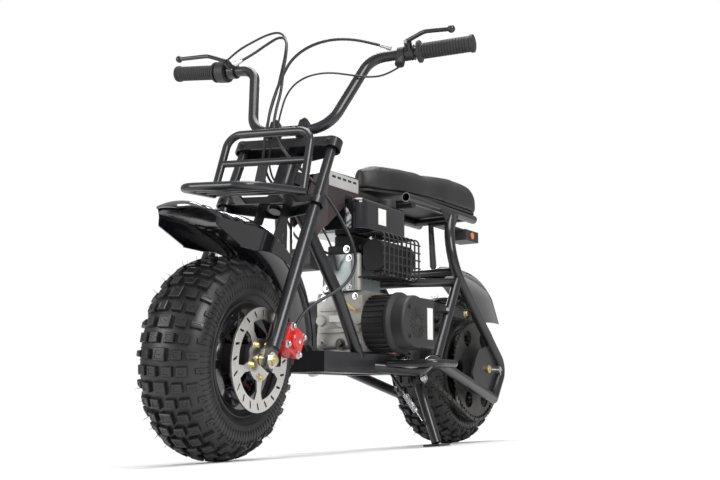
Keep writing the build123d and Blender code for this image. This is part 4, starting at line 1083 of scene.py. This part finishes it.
# axle washers, the caliper's round cylinder, and barrel adjusters where cables leave their levers
washers = two_sided(turned_on((0, 107.6, 0), OUT, [(15, 0), (15, 1.8)], 28))
gather(washers, fork, "fork", BRIGHT_ZINC, "zinc_plate")
cylinder = [(17, -1), (17, 6), (15.5, 8), (11, 8.4), (10, 6.6), (0.5, 6.6)]
gather(turned_on(CALIPER, OUT, cylinder, 32), fork, "fork", CALIPER_RED, "caliper_red")
cap = turned_on(CALIPER + (0, 7, 0), OUT, [(6, 0), (6, 4), (3, 5)], 6)
gather(cap, fork, "fork", BRIGHT_ZINC, "zinc_plate")
barrel = [(3.4, -6), (5.4, -5), (5.4, 4), (4.2, 5), (4.2, 14), (3.4, 18)]
for start, after in (FRONT_BRAKE[:2], REAR_BRAKE[:2]):
    adjuster = turned_on(start, np.subtract(after, start), barrel, 16)
    gather(adjuster, steered, "fork", BRIGHT_ZINC, "zinc_plate")

# the rear wheel's adjusting screws and their end plates
for side in (1, -1):
    screw = turned_on((-14, side * 121, WHEEL_R), (-1, 0, 0), [(3, 0), (3, 52)], 12)
    end_plate = block((-60, side * 116 - 3, 176), (-54, side * 123 + 3, 194))
    on_frame(joined(screw, end_plate), BRIGHT_ZINC, "zinc_plate")
print(len(GROUPS), "groups so far")

# %% [markdown]
# ## Relief on the engine and the covers
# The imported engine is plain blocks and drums. The real one has ribs and bosses on its cast case, a
# ribbed clutch drum under a cover with a star of petals, and a slotted panel on the tank. Each is
# a thin plate or a turned part that lies on a packed face, so it is drawn in that face's plane.

# %% Engine: ribs on the cast case, a pale corner post, the clutch's ribbed drum and its cover
HEAD_BOSS = (452, 26, 440)
COVER_FACE = 161.5
STAR = CRANK - (4, 0)
DRUM_IN, DRUM_OUT = 58.8, 60.4

case_parts = [
    block((CASE_FRONT, -52, 252), (CASE_FRONT + 5, 52, 262)),
    block((CASE_FRONT, -52, 300), (CASE_FRONT + 4, 52, 306)),
    turned_on((CASE_FRONT, 6, 282), ON, [(20, 0), (20, 3), (18, 4.5)], 36),
    turned_on((477, 40, 343), UP, [(8.5, 0), (8.5, 78), (6.5, 81)], 24),
]
for y in (-48, 48):
    case_parts.append(turned_on((CASE_FRONT, y, 280), ON, [(12, 0), (12, 5), (10.5, 6)], 24))
on_frame(joined(*case_parts), CAST_METAL, "cast_aluminium")

rib = [(59.0, -2.6), (59.0, 2.6), (63.4, 2.2), (63.4, -2.2)]
drum = [
    side_plate(turned_flat(rib, math.radians(-84 + 12 * k), CRANK), 60, 116, 0.4)
    for k in range(15)
]
arc = on_circle(np.radians(np.linspace(-98, 98, 49)))
shell = np.concatenate([DRUM_OUT * arc, DRUM_IN * arc[::-1]])
drum.append(side_plate(shell + CRANK, 58.5, 118, 0.2))
on_frame(joined(*drum), MATT_BLACK, "clutch_black")
collar = [(58, -6), (62, -5), (66.5, 0), (66, 5), (62, 9), (58.2, 12)]
collar = turned_on((CRANK[0], 118, CRANK[1]), OUT, collar, 64)
on_frame(collar, MATT_BLACK, "clutch_black")

petal = [(13, -0.6), (22, -2.2), (32, -1.5), (34, 0), (32, 1.5), (22, 2.2), (13, 0.6)]
star = [turned_on((STAR[0], COVER_FACE + 0.1, STAR[1]), OUT, [(9, 0), (8, 1.6)], 28)]
for k in range(20):
    outline = turned_flat(petal, 2 * math.pi * k / 20, STAR)
    star.append(side_plate(outline, COVER_FACE, COVER_FACE + 1.9, 0.4))
on_frame(joined(*star), BLACK_PLASTIC, "clutch_black")
print(len(case_parts), "parts on the case,", len(drum), "on the drum,", len(star), "in the star")

# %% Muffler ribs, the head, the tank cover's side panels in a grey of painted light, blank labels, reflector and a wire
ribs = [block((x - 1.6, 100, 392), (x + 1.6, 103.4, 444)) for x in range(352, 400, 8)]
ribs.append(block((404, 101, 396), (462, 103, 440), 1.4))
on_frame(joined(*ribs), MATT_BLACK, "muffler_black")
head = [
    block((384, -40, 424), (474, 30, 446), 2), block((396, -30, 446), (462, 22, 469.6), 2),
    turned_on(HEAD_BOSS, (0.3, 1, 0.1), [(9, 0), (9, 12), (6, 14)], 20),
]
on_frame(joined(*head), MATT_BLACK, "cast_aluminium")
# The tank cover's upper panels, drawn upright in a grey of painted light that stands for light from above.
panel = two_sided(block((486, 45.8, 553), (598, 47.4, 584), 0.5))
on_frame(panel, PAINTED_LIGHT_GREY, "cover_grey")
# The tank panel's slots are drawn as thin matt-black bars on its face: painted shade of the openings.
bars = [block((x, 47.3, 572), (x + 13, 47.7, 577), 0.1) for x in range(494, 594, 20)]
on_frame(two_sided(joined(*bars)), MATT_BLACK, "cover_grey")
for low, high in (
    ((364, 161.6, 238), (388, 162.4, 306)), ((430, 83.6, 486), (462, 84.4, 522)),
    ((490.5, -24, 276), (491.4, 22, 290)),
):
    on_frame(block(low, high, 0.1), BLANK_LABEL)
lens = [(9, -1), (9, 1.5), (6.5, 3), (0.5, 3.6)]
on_frame(turned_on((-110, 28, 545), OUT, lens, 28), REFLECTOR)
wire = [(486, -20, 348), (520, 0, 342), (530, 30, 322), (500, 44, 300), (487, 40, 296)]
on_frame(tube(rounded_path(wire, [14, 14, 14]), 1.8, 8), YELLOW_WIRE)
# The gusset's three slots are holes; they are drawn as thin matt-black plates on its face, painted shade standing
# for the dark seen through them.
slot_shade_plates = []
for k in range(3):
    high = 560 - 13 * k
    left = 97 + 9 * k
    right = 172 - 17 * k
    outline = [(left, high - 6), (right - 6, high - 6), (right, high), (left - 3, high)]
    slot_shade_plates.append(side_plate(outline, 90.6, 91.5, 0.2))
on_frame(two_sided(joined(*slot_shade_plates)), MATT_BLACK, "frame_black")

for (body, look, slot), shapes in GROUPS.items():
    make(f"{look}_on_{body}", joined(*shapes), body, bpy.data.materials[look], 30.0)
print(len(GROUPS), "groups of small parts")

# %% [markdown]
# ## Floor and light
# A pale floor carries a soft shadow. Far from the bike it turns into the white of the background,
# so no horizon shows. The world is white to the camera and a quieter grey to all else, so black
# paint stays black. Large soft lamps stand as in a studio: a key on the left, a fill ahead, one
# overhead and one behind.

# %% Floor, world and lamps
FLOOR_R = 8.0
FADE_FROM = 0.75
FADE_TO = 2.2
WORLD_LIGHT = 0.45
BIKE_MIDDLE = (0.0, 0.0, 0.45)


def pale_floor():
    """A disc whose material is pale near the bike and background white far away."""
    mesh = bpy.data.meshes.new("floor")
    rim = FLOOR_R * on_circle(np.linspace(0, 2 * math.pi, 96, endpoint=False))
    mesh.from_pydata(np.pad(rim, ((0, 0), (0, 1))).tolist(), [], [list(range(96))])
    floor = linked("floor", mesh)
    material = bpy.data.materials.new("pale_floor")
    material.use_nodes = True
    tree = material.node_tree
    link = tree.links.new
    shader = tree.nodes["Principled BSDF"]
    settings(shader, {
        "Base Color": (0.86, 0.86, 0.86, 1), "Roughness": 0.7, "Specular IOR Level": 0.1
    })
    white = shader_node(tree, "Emission")
    place = shader_node(tree, "TexCoord")
    reach = shader_node(tree, "VectorMath")
    reach.operation = "LENGTH"
    fade = shader_node(tree, "MapRange", {"From Min": FADE_FROM, "From Max": FADE_TO})
    mix = shader_node(tree, "MixShader")
    link(place.outputs["Object"], reach.inputs[0])
    link(reach.outputs["Value"], fade.inputs["Value"])
    link(fade.outputs["Result"], mix.inputs["Fac"])
    link(shader.outputs["BSDF"], mix.inputs[1])
    link(white.outputs["Emission"], mix.inputs[2])
    link(mix.outputs["Shader"], tree.nodes["Material Output"].inputs["Surface"])
    mesh.materials.append(material)


def white_world(light):
    """White to the camera, and grey of the given strength to every other ray."""
    world = bpy.data.worlds.new("studio")
    bpy.context.scene.world = world
    world.use_nodes = True
    tree = world.node_tree
    link = tree.links.new
    shown = tree.nodes["Background"]
    settings(shown, {"Color": (1, 1, 1, 1)})
    lit = shader_node(tree, "Background", {"Strength": light})
    rays = shader_node(tree, "LightPath")
    mix = shader_node(tree, "MixShader")
    link(rays.outputs["Is Camera Ray"], mix.inputs["Fac"])
    link(lit.outputs["Background"], mix.inputs[1])
    link(shown.outputs["Background"], mix.inputs[2])
    link(mix.outputs["Shader"], tree.nodes["World Output"].inputs["Surface"])


def lamp(name, place, size, power):
    """A rectangular lamp aimed at the middle of the bike."""
    data = bpy.data.lights.new(name, "AREA")
    data.shape = "RECTANGLE"
    data.size, data.size_y = size
    data.energy = power
    light = linked(name, data)
    light.location = place
    sight = Vector(BIKE_MIDDLE) - Vector(place)
    light.rotation_euler = sight.to_track_quat("-Z", "Y").to_euler()


pale_floor()
white_world(WORLD_LIGHT)
lamp("key", (1.6, 2.9, 2.2), (1.8, 1.8), 95)
lamp("fill", (3.0, -1.4, 1.3), (1.2, 1.8), 45)
lamp("overhead", (-0.2, 0.2, 3.0), (2.4, 1.6), 70)
lamp("behind", (-2.4, -1.6, 1.8), (1.0, 2.0), 40)
bpy.context.scene.view_settings.view_transform = "Standard"
print(len(bpy.data.lights), "lamps")
